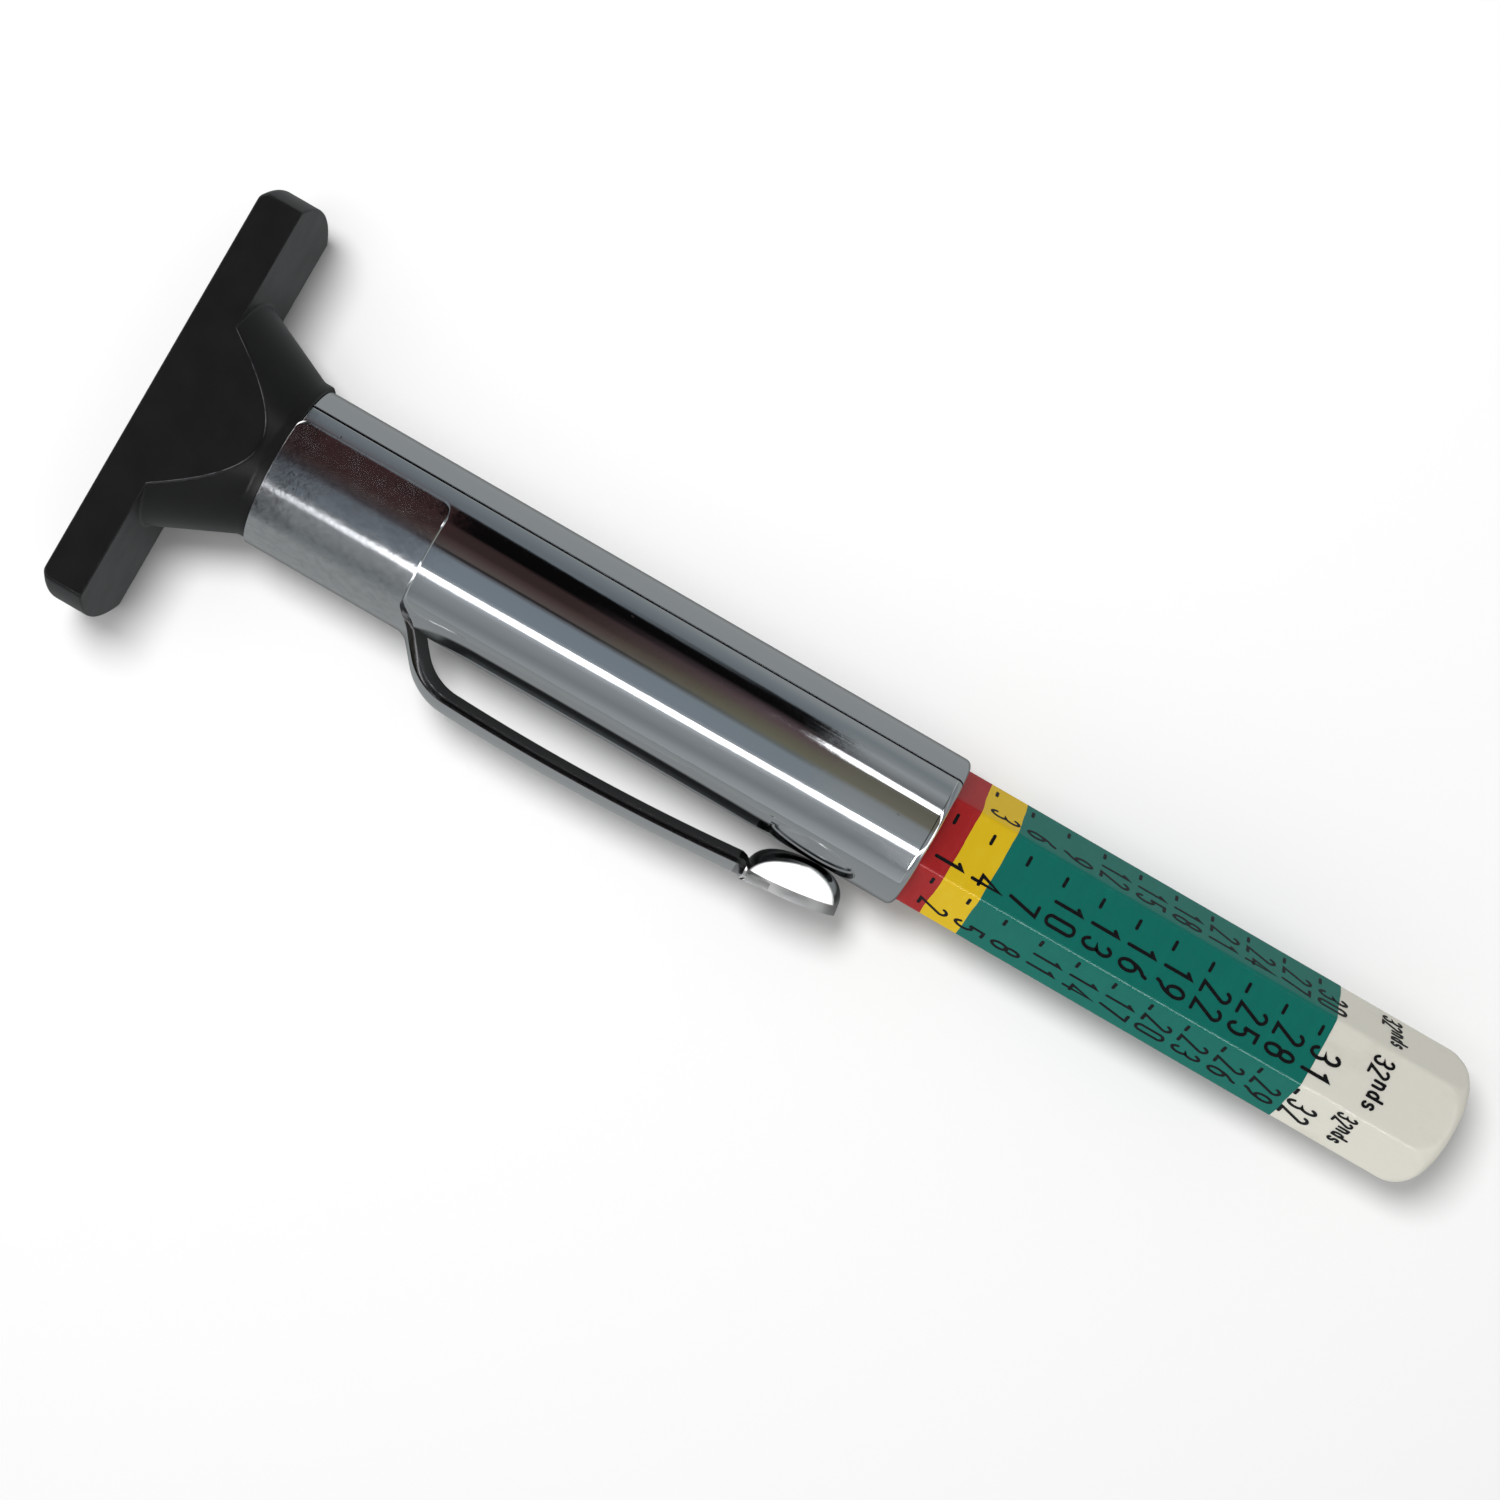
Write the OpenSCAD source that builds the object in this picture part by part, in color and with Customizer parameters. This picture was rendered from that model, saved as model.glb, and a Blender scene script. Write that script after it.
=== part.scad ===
// Tread depth gauge, lying on its side on one flat of its head.
// Millimetres. +X runs along the probe, from the foot's face to the scale bar's free end.
// +Z is up, the pocket clip is on the -Y side, and the origin is the centre of the foot's face.
// The bar is drawn fully out, where the gauge reads zero and the probe is level with the foot.

/* [Head] */
// Diameter of the foot's disc
foot_d = 26.9; // [24:0.1:30]
// Thickness of the foot's disc
foot_t = 2.6; // [2.2:0.1:3.2]
// Radius round the rim of the foot's face
foot_rim_r = 0.5; // [0.4:0.1:1.5]
// Distance between the head's two flats
head_depth = 10.5; // [10.5:0.1:12]
// Diameter of the cone where it meets the disc
cone_d = 14.6; // [13:0.1:18]
// Height of the cone
cone_h = 4.9; // [4:0.1:6]
// Diameter of the collar that the sleeve and the clip stand on
collar_d = 10.06; // [9.8:0.02:10.4]
// Height of the collar
collar_h = 0.65; // [0.3:0.05:1.2]
// Length of the spigot inside the sleeve
spigot_l = 8.05; // [5:0.05:8.1]

/* [Sleeve] */
// Outside diameter of the rolled tube
sleeve_d = 9.525; // [9.5:0.025:9.7]
// Wall of the tube
sleeve_wall = 0.32; // [0.24:0.01:0.34]
// Length of the sleeve
sleeve_l = 42.65; // [42.6:0.05:46]
// Outside radius of the curled lip at the open end
lip_r = 0.44; // [0.38:0.01:0.44]
// Width of the butt seam
seam_w = 0.12; // [0.04:0.01:0.2]
// Angle of the seam from the top, towards +Y
seam_angle = 46; // [40:1:56]

/* [Clip] */
// Thickness of the clip's spring strip
clip_t = 0.44; // [0.4:0.01:0.46]
// Length of the band round the sleeve
band_l = 9.9; // [8:0.1:11]
// Angle of the band's gap, opposite the arm
band_gap_angle = 116; // [100:1:120]
// Radius on the band's corners
band_corner_r = 0.6; // [0.3:0.05:1]
// Width of the arm
arm_w = 5.4; // [4.8:0.1:5.6]
// Width of the arm where it leaves the band
arm_root_w = 7.5; // [7:0.1:7.8]
// Height of the arm's crown above the sleeve's axis
arm_crown_h = 8.24; // [8:0.02:8.26]
// Distance from the band to the crown
arm_crown_x = 10.45; // [10:0.05:11]
// Radius of the arm's long bow
arm_crown_r = 140; // [120:5:160]
// Radius of the arm's shoulder
shoulder_r = 3.9; // [3.5:0.1:3.9]
// Distance from the band to the end of the shoulder
shoulder_x = 4.75; // [4.75:0.05:5.4]
// Slope between the root's bend and the shoulder
climb_angle = 50; // [49:1:56]
// Radius of the bend at the arm's root
root_bend_r = 1.2; // [1:0.05:1.25]
// Distance from the band to the centre of the tip's cup
cup_x = 27.3; // [26.5:0.1:27.6]
// Outside radius of the tip's cup
cup_r = 3.14; // [3.06:0.02:3.3]
// Gap between the cup and the sleeve
cup_gap = 0.03; // [0.02:0.01:0.1]
// Turn of the whole clip round the sleeve, from level, towards -Z
clip_roll = 3; // [0:0.5:6]

/* [Scale bar] */
// Width of the hexagonal bar across its flats
bar_af = 7.45; // [7:0.05:7.45]
// Radius on the bar's long corners
bar_corner_r = 0.35; // [0.3:0.05:0.6]
// Length of the bar outside the sleeve at zero
bar_out = 34.1; // [32:0.1:40]
// Length of the bar inside the sleeve at zero
bar_in = 8.9; // [8.4:0.1:8.9]
// Radius on the corners of the bar's free end
bar_end_r = 2; // [0.4:0.1:2.4]
// Roll of the bar from having one face level, towards +Y
bar_roll = 4.65; // [0:0.05:30]

/* [Scale] */
// Number of graduations, each a thirty-second of an inch
marks = 32; // [12:1:32]
// Graduation where the red zone ends
red_end = 2; // [1:0.5:3]
// Graduation where the yellow zone ends
yellow_end = 5; // [4:0.5:8]
// Graduation where the green zone ends
green_end = 31.3; // [9:0.1:31.6]
// Thickness of the ink
ink_t = 0.02; // [0.01:0.005:0.025]
// Length of a tick across the face
tick_l = 0.79; // [0.4:0.01:1.2]
// Width of a tick's line
tick_w = 0.18; // [0.1:0.01:0.3]
// Distance from a tick's centre to the middle of its face
tick_y = 1; // [0.6:0.1:1.4]

/* [Probe] */
// Diameter of the probe
probe_d = 2; // [1.6:0.05:2.2]
// Depth of the probe's tip below the foot's face at zero
probe_recess = 0.1; // [0:0.05:0.3]
// Length of the probe pressed into the bar
probe_seat = 6; // [4:0.1:6.5]
// Chamfer on the probe's tip
probe_chamfer = 0.25; // [0.1:0.05:0.5]

/* [Rings] */
// Thickness of the stop ring
stop_t = 0.9; // [0.6:0.05:0.9]
// Gap in the stop ring, in degrees
stop_gap_angle = 40; // [20:5:70]
// Section diameter of the friction ring
friction_d = 1; // [0.8:0.05:1]

/* [Hidden] */

$fn = 64;
eps = 0.01;
run_gap = 0.05;              // running clearance round the probe and under the stop ring
snug_gap = 0.02;             // clearance between parts that grip each other
groove_gap = 0.05;           // side clearance of a ring in its groove

sleeve_x = foot_t + cone_h + collar_h;
sleeve_end = sleeve_x + sleeve_l;
sleeve_r = sleeve_d / 2;
bore_r = sleeve_r - sleeve_wall;
spigot_chamfer = 0.4;
probe_bore_r = probe_d / 2 + run_gap;

band_inner_r = sleeve_r + snug_gap;
band_r = band_inner_r + clip_t;
band_end = sleeve_x + band_l;
arm_split = 0.05;            // where the one strip is divided so that the arm can flex
arm_x = band_end + arm_split;

bar_end = sleeve_end + bar_out;
bar_start = sleeve_end - bar_in;
bar_corner_at = (bar_af / 2 - bar_corner_r) / cos(30) + bar_corner_r;
stop_outer_r = bore_r - snug_gap;
stop_inner_r = bar_af / 2 - 0.175;
stop_x = sleeve_end - 0.5 - stop_t;
friction_x = sleeve_end - 6.7;
friction_outer_r = bore_r - snug_gap;
friction_r = friction_outer_r - friction_d / 2;

graduation = 25.4 / 32;
ink_lift = 0.005;            // gap that keeps an ink layer clear of what it is printed on
red_start = sleeve_end - 0.4;

// Sweeps a profile drawn as [radius, x] round the X axis. Angles run from +Z towards -Y.
module turned(from = 0, sweep = 360) {
    rotate([0, 90, 0])
        rotate([0, 0, 180 + from])
            rotate_extrude(angle = sweep)
                children();
}

// A rectangle in a turned profile
module band_profile(r0, r1, x0, x1) {
    translate([r0, x0])
        square([r1 - r0, x1 - x0]);
}

// Points along an arc. The angle runs from the +X side of vertical.
function arc(centre, r, from, to, steps) =
    [for (i = [0:steps])
        let (a = from + (to - from) * i / steps)
            centre + r * [sin(a), cos(a)]];

// ---- Head ----

module head_profile() {
    // disc, with a round rim on the foot's face
    band_profile(0, foot_d / 2 - foot_rim_r, 0, foot_t);
    band_profile(0, foot_d / 2, foot_rim_r, foot_t);
    translate([foot_d / 2 - foot_rim_r, foot_rim_r])
        circle(foot_rim_r);
    // cone and collar
    polygon([[0, foot_t - eps], [cone_d / 2, foot_t - eps], [cone_d / 2, foot_t],
             [collar_d / 2, foot_t + cone_h], [collar_d / 2, sleeve_x], [0, sleeve_x]]);
    // spigot, chamfered so that the sleeve starts easily
    spigot_r = bore_r - snug_gap;
    spigot_end = sleeve_x + spigot_l;
    polygon([[0, sleeve_x - eps], [spigot_r, sleeve_x - eps], [spigot_r, spigot_end - spigot_chamfer],
             [spigot_r - spigot_chamfer, spigot_end], [0, spigot_end]]);
}

module tee_head() {
    length = sleeve_x + spigot_l;
    color([0.12, 0.12, 0.13])
        difference() {
            intersection() {
                turned() head_profile();
                translate([-1, -foot_d, -head_depth / 2])
                    cube([length + 2, 2 * foot_d, head_depth]);
            }
            translate([-1, 0, 0])
                rotate([0, 90, 0])
                    cylinder(h = length + 2, r = probe_bore_r);
        }
}

// ---- Sleeve ----

module sleeve_profile() {
    straight_end = sleeve_end - lip_r;
    band_profile(bore_r, sleeve_r, sleeve_x, straight_end + eps);
    // the lip curls in through a quarter turn
    translate([sleeve_r - lip_r, straight_end])
        intersection() {
            difference() {
                circle(lip_r);
                circle(lip_r - sleeve_wall);
            }
            square(lip_r);
        }
}

module sleeve() {
    color([0.78, 0.79, 0.8])
        difference() {
            turned() sleeve_profile();
            rotate([-seam_angle, 0, 0])
                translate([sleeve_x - 1, -seam_w / 2, sleeve_r / 2])
                    cube([sleeve_l + 2, seam_w, sleeve_r]);
        }
}

// ---- Clip ----

// The waste outside one rounded corner, to be cut along a radius of the band. Its arc is a little
// large, so that it crosses the edges and doesn't feather out along them.
module corner_waste(angle, x, towards_x, towards_angle) {
    r = band_corner_r;
    arc_over = 0.03;
    rotate([angle, 0, 0])
        translate([x, 0, 0])
            scale([towards_x, towards_angle, 1])
                difference() {
                    translate([-1, -1, 1])
                        cube([1 + r, 1 + r, 2 * band_r]);
                    translate([r, r, 0])
                        cylinder(h = 3 * band_r, r = r + arc_over);
                }
}

module clip_band() {
    half_wrap = 180 - band_gap_angle / 2;
    low_angle = 90 - half_wrap;
    high_angle = 90 + half_wrap;
    color([0.8, 0.81, 0.82])
        rotate([clip_roll, 0, 0])
            difference() {
                turned(low_angle, 2 * half_wrap)
                    band_profile(band_inner_r, band_r, sleeve_x, band_end);
                for (end = [[sleeve_x, 1], [band_end, -1]]) {
                    corner_waste(low_angle, end[0], end[1], -1);
                    corner_waste(high_angle, end[0], end[1], 1);
                }
            }
}

// The arm's side view as a row of points, at a depth below its outer face
crown_centre = [band_end + arm_crown_x, arm_crown_h - arm_crown_r];
shoulder_lean = asin((arm_crown_x - shoulder_x) / arm_crown_r);
shoulder_centre = crown_centre
    + (arm_crown_r - shoulder_r) * [-sin(shoulder_lean), cos(shoulder_lean)];
shoulder_foot = shoulder_centre + shoulder_r * [-sin(climb_angle), cos(climb_angle)];
root_bend_top = band_r + root_bend_r * (1 - cos(climb_angle));
root_bend_x = shoulder_foot[0] - (shoulder_foot[1] - root_bend_top) / tan(climb_angle)
    - root_bend_r * sin(climb_angle);
root_bend_centre = [root_bend_x, band_r + root_bend_r];
cup_centre_x = band_end + cup_x;
cup_lean = asin((cup_centre_x - crown_centre[0]) / arm_crown_r);

function arm_face(depth) = concat(
    [[arm_x, band_r - depth]],
    arc(root_bend_centre, root_bend_r + depth, 180, 180 - climb_angle, 5),
    arc(shoulder_centre, shoulder_r - depth, -climb_angle, -shoulder_lean, 7),
    arc(crown_centre, arm_crown_r - depth, -shoulder_lean, cup_lean, 8));

module arm_profile() {
    outline = concat(arm_face(0), [for (i = [len(arm_face(0)) - 1:-1:0]) arm_face(clip_t)[i]]);
    polygon([for (p = outline) [p[1], p[0]]]);
}

// The arm seen square on: a wide root that narrows through a round fillet on each side
module arm_plan() {
    flare_r = 1.8;
    flare_h = (arm_root_w - arm_w) / 2;
    flare_l = sqrt(flare_r * flare_r - pow(flare_r - flare_h, 2));
    translate([arm_x, -arm_w / 2])
        square([cup_centre_x - arm_x, arm_w]);
    difference() {
        translate([arm_x, -arm_root_w / 2])
            square([flare_l, arm_root_w]);
        for (side = [-1, 1])
            translate([arm_x + flare_l, side * (arm_w / 2 + flare_r)])
                circle(flare_r);
    }
}

module arm_strip() {
    intersection() {
        turned(30, 120) arm_profile();
        translate([0, -arm_crown_h, 0])
            rotate([-90, 0, 0])
                linear_extrude(arm_crown_h)
                    arm_plan();
    }
}

// Places children at the cup's centre, with +Z pointing away from the sleeve
module at_cup() {
    translate([cup_centre_x, -(sleeve_r + cup_gap + cup_r), 0])
        rotate([90, 0, 0])
            children();
}

module cup_shell() {
    rim_h = arm_crown_h - arm_crown_r * (1 - cos(cup_lean)) - (sleeve_r + cup_gap + cup_r);
    at_cup()
        intersection() {
            sphere(cup_r);
            translate([0, 0, rim_h])
                rotate([0, cup_lean, 0])
                    translate([-2 * cup_r, -2 * cup_r, -4 * cup_r])
                        cube([4 * cup_r, 4 * cup_r, 4 * cup_r]);
        }
}

module clip_arm() {
    color([0.8, 0.81, 0.82])
        rotate([clip_roll, 0, 0])
            difference() {
                union() {
                    arm_strip();
                    cup_shell();
                }
                at_cup()
                    sphere(cup_r - clip_t);
            }
}

// ---- Rings ----

module stop_ring() {
    color([0.45, 0.46, 0.48])
        turned(stop_gap_angle / 2, 360 - stop_gap_angle)
            band_profile(stop_inner_r, stop_outer_r, stop_x, stop_x + stop_t);
}

module friction_ring() {
    color([0.1, 0.1, 0.1])
        turned()
            translate([friction_r, friction_x])
                circle(friction_d / 2);
}

// ---- Scale bar ----

// A hexagonal prism along X, with its long corners eased
module hex_prism(af, x0, x1) {
    corner_at = bar_corner_at + (af - bar_af) / 2;
    intersection() {
        translate([x0, 0, 0])
            rotate([-bar_roll, 0, 0])
                rotate([0, 90, 0])
                    cylinder(h = x1 - x0, d = af / cos(30), $fn = 6);
        turned() band_profile(0, corner_at, x0, x1);
    }
}

module bar_blank_profile() {
    band_profile(0, bar_corner_at + 1, bar_start - 1, bar_end - bar_end_r);
    band_profile(0, bar_corner_at - bar_end_r, bar_end - bar_end_r - eps, bar_end);
    translate([bar_corner_at - bar_end_r, bar_end - bar_end_r])
        intersection() {
            circle(bar_end_r);
            translate([0, -eps])
                square(bar_end_r + 1);
        }
}

module ring_groove(floor_r, centre_x, width) {
    turned()
        band_profile(floor_r, bar_af, centre_x - width / 2, centre_x + width / 2);
}

module scale_bar() {
    color([0.92, 0.9, 0.85])
        difference() {
            intersection() {
                hex_prism(bar_af, bar_start, bar_end);
                turned() bar_blank_profile();
            }
            ring_groove(stop_inner_r - run_gap, stop_x + stop_t / 2, stop_t + 2 * groove_gap);
            ring_groove(friction_r - friction_d / 2 - snug_gap, friction_x, friction_d + 4 * groove_gap);
            translate([bar_start - 1, 0, 0])
                rotate([0, 90, 0])
                    cylinder(h = probe_seat + 1, r = probe_d / 2 - snug_gap);
        }
}

module ink_layer(x0, x1) {
    difference() {
        hex_prism(bar_af + 2 * (ink_lift + ink_t), x0, x1);
        hex_prism(bar_af + 2 * ink_lift, x0 - 1, x1 + 1);
    }
}

function mark_x(n) = sleeve_end + n * graduation;

module red_band() {
    color([0.72, 0.11, 0.14])
        ink_layer(red_start, mark_x(red_end));
}

module yellow_band() {
    color([0.92, 0.78, 0.12])
        ink_layer(mark_x(red_end), mark_x(yellow_end));
}

module green_band() {
    color([0.03, 0.5, 0.42])
        ink_layer(mark_x(yellow_end), mark_x(green_end));
}

// Each face carries every third graduation, starting one later than the face before it
module tick_marks() {
    height = bar_af / 2 + 2 * ink_lift + ink_t;
    color([0.08, 0.08, 0.09])
        for (face = [0:5])
            rotate([60 * face - bar_roll, 0, 0])
                for (n = [1 + face % 3:3:marks])
                    translate([mark_x(n) - tick_w / 2, tick_y - tick_l / 2, height])
                        cube([tick_w, tick_l, ink_t]);
}

// ---- Probe ----

module probe_pin() {
    r = probe_d / 2;
    seat_end = bar_start + probe_seat - 0.2;
    color([0.7, 0.71, 0.73])
        turned()
            polygon([[0, probe_recess], [r - probe_chamfer, probe_recess],
                     [r, probe_recess + probe_chamfer], [r, seat_end], [0, seat_end]]);
}

tee_head();
sleeve();
clip_band();
clip_arm();
stop_ring();
friction_ring();
scale_bar();
red_band();
yellow_band();
green_band();
tick_marks();
probe_pin();
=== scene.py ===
"""Tread depth gauge: finished meshes and materials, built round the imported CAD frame.

Lengths are in millimetres until a mesh, a light or the camera is made, in metres. +X runs from the
foot's face to the scale bar's free end, +Z is up, and the clip is on the -Y side.
"""
import math

import bmesh
import bpy
import numpy as np
from mathutils import Matrix, Vector, noise


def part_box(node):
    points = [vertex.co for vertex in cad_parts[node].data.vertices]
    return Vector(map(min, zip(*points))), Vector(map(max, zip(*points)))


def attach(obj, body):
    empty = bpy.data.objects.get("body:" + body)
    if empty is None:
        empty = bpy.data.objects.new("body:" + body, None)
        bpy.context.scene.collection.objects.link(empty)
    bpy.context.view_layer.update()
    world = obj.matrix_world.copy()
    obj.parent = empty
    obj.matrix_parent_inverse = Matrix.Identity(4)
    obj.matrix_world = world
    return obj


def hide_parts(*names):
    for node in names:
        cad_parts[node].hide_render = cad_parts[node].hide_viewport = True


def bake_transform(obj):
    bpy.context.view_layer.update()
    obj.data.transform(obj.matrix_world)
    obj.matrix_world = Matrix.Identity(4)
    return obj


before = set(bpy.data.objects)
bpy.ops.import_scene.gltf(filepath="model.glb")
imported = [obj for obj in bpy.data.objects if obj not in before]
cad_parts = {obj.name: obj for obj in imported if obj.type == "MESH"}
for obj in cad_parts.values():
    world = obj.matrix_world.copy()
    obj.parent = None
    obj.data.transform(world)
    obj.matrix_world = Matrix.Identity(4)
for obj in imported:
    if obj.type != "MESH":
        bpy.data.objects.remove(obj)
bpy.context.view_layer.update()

MM = 0.001


def span(node, axis):
    """Lowest and highest coordinate of a CAD node along one axis, in millimetres."""
    low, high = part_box(node)
    return low[axis] / MM, high[axis] / MM


# ---------------------------------------------------------------- sizes, from the frame

FOOT_X, SPIGOT_END = span("tee_head", 0)
FOOT_R = span("tee_head", 1)[1]
FLAT_Z = span("tee_head", 2)[1]
SLEEVE_X, SLEEVE_END = span("sleeve", 0)
SLEEVE_R = span("sleeve", 2)[1]
BAND_END = span("clip_band", 0)[1]
BAND_R = span("clip_band", 2)[1]
ARM_TIP = span("clip_arm", 0)[1]
BAR_START, BAR_END = span("scale_bar", 0)
PROBE_TIP, PROBE_END = span("probe_pin", 0)
PROBE_R = span("probe_pin", 2)[1]
RED_START, RED_END = span("red_band", 0)
YELLOW_END = span("yellow_band", 0)[1]
GREEN_END = span("green_band", 0)[1]
STOP_X0, STOP_X1 = span("stop_ring", 0)
FRICTION_X0, FRICTION_X1 = span("friction_ring", 0)

# ---------------------------------------------------------------- sizes of the details
# _R is a radius, _T a thickness, _X a place along the gauge; NECK_ is how far before the cup's middle

FOOT_T = 2.6
RIM_R = 0.5
CONE_R = 7.3
COLLAR_R = 5.03
COLLAR_X = 7.5
PROBE_HOLE_R = PROBE_R + 0.05
WALL = 0.32
LIP_R = 0.44
BORE_R = SLEEVE_R - WALL
SEAM_ANGLE = 46.0
SEAM_W = 0.1
CLIP_T = 0.44
CLIP_ROLL = 3.0
BAND_HALF_WRAP = 122.0
BAND_CORNER_R = 0.6
ARM_HALF_W = 2.7
ARM_ROOT_HALF_W = 3.75
FLARE_R = 1.8
CUP_X = ARM_TIP - 2.95
CUP_RIM_R = 2.95
CROWN_R = BAND_R + 3.0215
CROWN_BOW_R = 140.0
CROWN_X = BAND_END + 10.45
SHOULDER_R = 3.9
SHOULDER_X = BAND_END + 4.75
ROOT_BEND_R = 1.2
CLIMB = math.radians(50)
CUP_GAP = 0.03
CUP_RELIEF = 0.075
NECK_START = 3.5
NECK_END = 2.55
FADE_START = CUP_X - 3.3
BOW_START = CUP_X - 9.0
FLEX_LENGTH = 3.2
BAND_SIDE_STEPS = 26
CUP_LEAN = math.asin((CUP_X - CROWN_X) / CROWN_BOW_R)
CUP_PLANE_R = CROWN_R - CROWN_BOW_R * (1 - math.cos(CUP_LEAN))
BAR_APOTHEM = 3.725
BAR_CORNER_R = 0.35
BAR_END_R = 1.94
BAR_ROLL = 4.65
SEAT_R = 0.98
UNTURNED = 99.0
INK_T = 0.02
GRADUATION = 25.4 / 32
MARKS = 32

# ---------------------------------------------------------------- mesh helpers


def unit_circle(degrees):
    """(y, z) on the unit circle. The angle runs from +Z towards -Y."""
    a = np.radians(degrees)
    return np.array([-np.sin(a), np.cos(a)])


def grid_faces(rows, cols, closed=False, start=0):
    """Quads over a grid of points numbered row by row. closed joins the last column to the first."""
    faces = []
    for r in range(rows - 1):
        for c in range(cols if closed else cols - 1):
            d = (c + 1) % cols
            faces.append((start + r * cols + c, start + r * cols + d,
                          start + (r + 1) * cols + d, start + (r + 1) * cols + c))
    return faces


def new_mesh(name, points, faces):
    """A mesh in metres from points in millimetres."""
    mesh = bpy.data.meshes.new(name)
    mesh.from_pydata([tuple(float(v) * MM for v in p) for p in points], [], faces)
    return mesh


def make_piece(name, points, faces, material, body, slot, **options):
    """A finished piece from points in millimetres. The options are those of finish_piece()."""
    return finish_piece(name, new_mesh(name, points, faces), material, body, slot, **options)


def finish_piece(name, mesh, material, body, slot, replaces=(), sharp=35.0, weighted=True):
    """Welds a mesh, smooths it but for edges sharper than sharp degrees, and lets it ride on a body."""
    welded = bmesh.new()
    welded.from_mesh(mesh)
    bmesh.ops.remove_doubles(welded, verts=welded.verts, dist=1e-4 * MM)
    bmesh.ops.recalc_face_normals(welded, faces=welded.faces)
    welded.to_mesh(mesh)
    welded.free()
    mesh.shade_smooth()
    mesh.set_sharp_from_angle(angle=math.radians(sharp))
    mesh.materials.append(material)
    piece = bpy.data.objects.new(name, mesh)
    bpy.context.scene.collection.objects.link(piece)
    if weighted:
        normals = piece.modifiers.new("face_weighted_normals", "WEIGHTED_NORMAL")
        normals.keep_sharp = True
    if body:
        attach(piece, body)
    if replaces:
        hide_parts(*replaces)
    return piece


def arc_points(centre, radius, start, end, steps):
    """Points (x, r) on an arc. The angle runs from the direction of +r towards +x, in degrees."""
    angles = np.radians(np.linspace(start, end, steps + 1))
    return [(centre[0] + radius * math.sin(a), centre[1] + radius * math.cos(a)) for a in angles]


def bevel_edges(bm, edges, width, segments=3):
    """Rounds edges over by a width in millimetres."""
    return bmesh.ops.bevel(bm, geom=list(edges), offset=width * MM, offset_type="OFFSET",
                           segments=segments, profile=0.5, affect="EDGES", clamp_overlap=True)


# ---------------------------------------------------------------- node helpers


class Value:
    """An output of a node. It adds, multiplies and compares like a number; a | b is the larger of two."""

    def __init__(self, graph, socket):
        self.graph = graph
        self.socket = socket

    def __add__(self, other):
        return self.graph.math("ADD", self, other)

    def __sub__(self, other):
        return self.graph.math("SUBTRACT", self, other)

    def __rsub__(self, other):
        return self.graph.math("SUBTRACT", other, self)

    def __mul__(self, other):
        return self.graph.math("MULTIPLY", self, other)

    def __truediv__(self, other):
        return self.graph.math("DIVIDE", self, other)

    def __gt__(self, other):
        return self.graph.math("GREATER_THAN", self, other)

    def __lt__(self, other):
        return self.graph.math("LESS_THAN", self, other)

    def __or__(self, other):
        return self.graph.math("MAXIMUM", self, other)

    def __abs__(self):
        return self.graph.math("ABSOLUTE", self)


def rgba(colour):
    """A colour with its alpha. A node's output passes unchanged."""
    return (*colour, 1.0) if isinstance(colour, tuple) and len(colour) == 3 else colour


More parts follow.
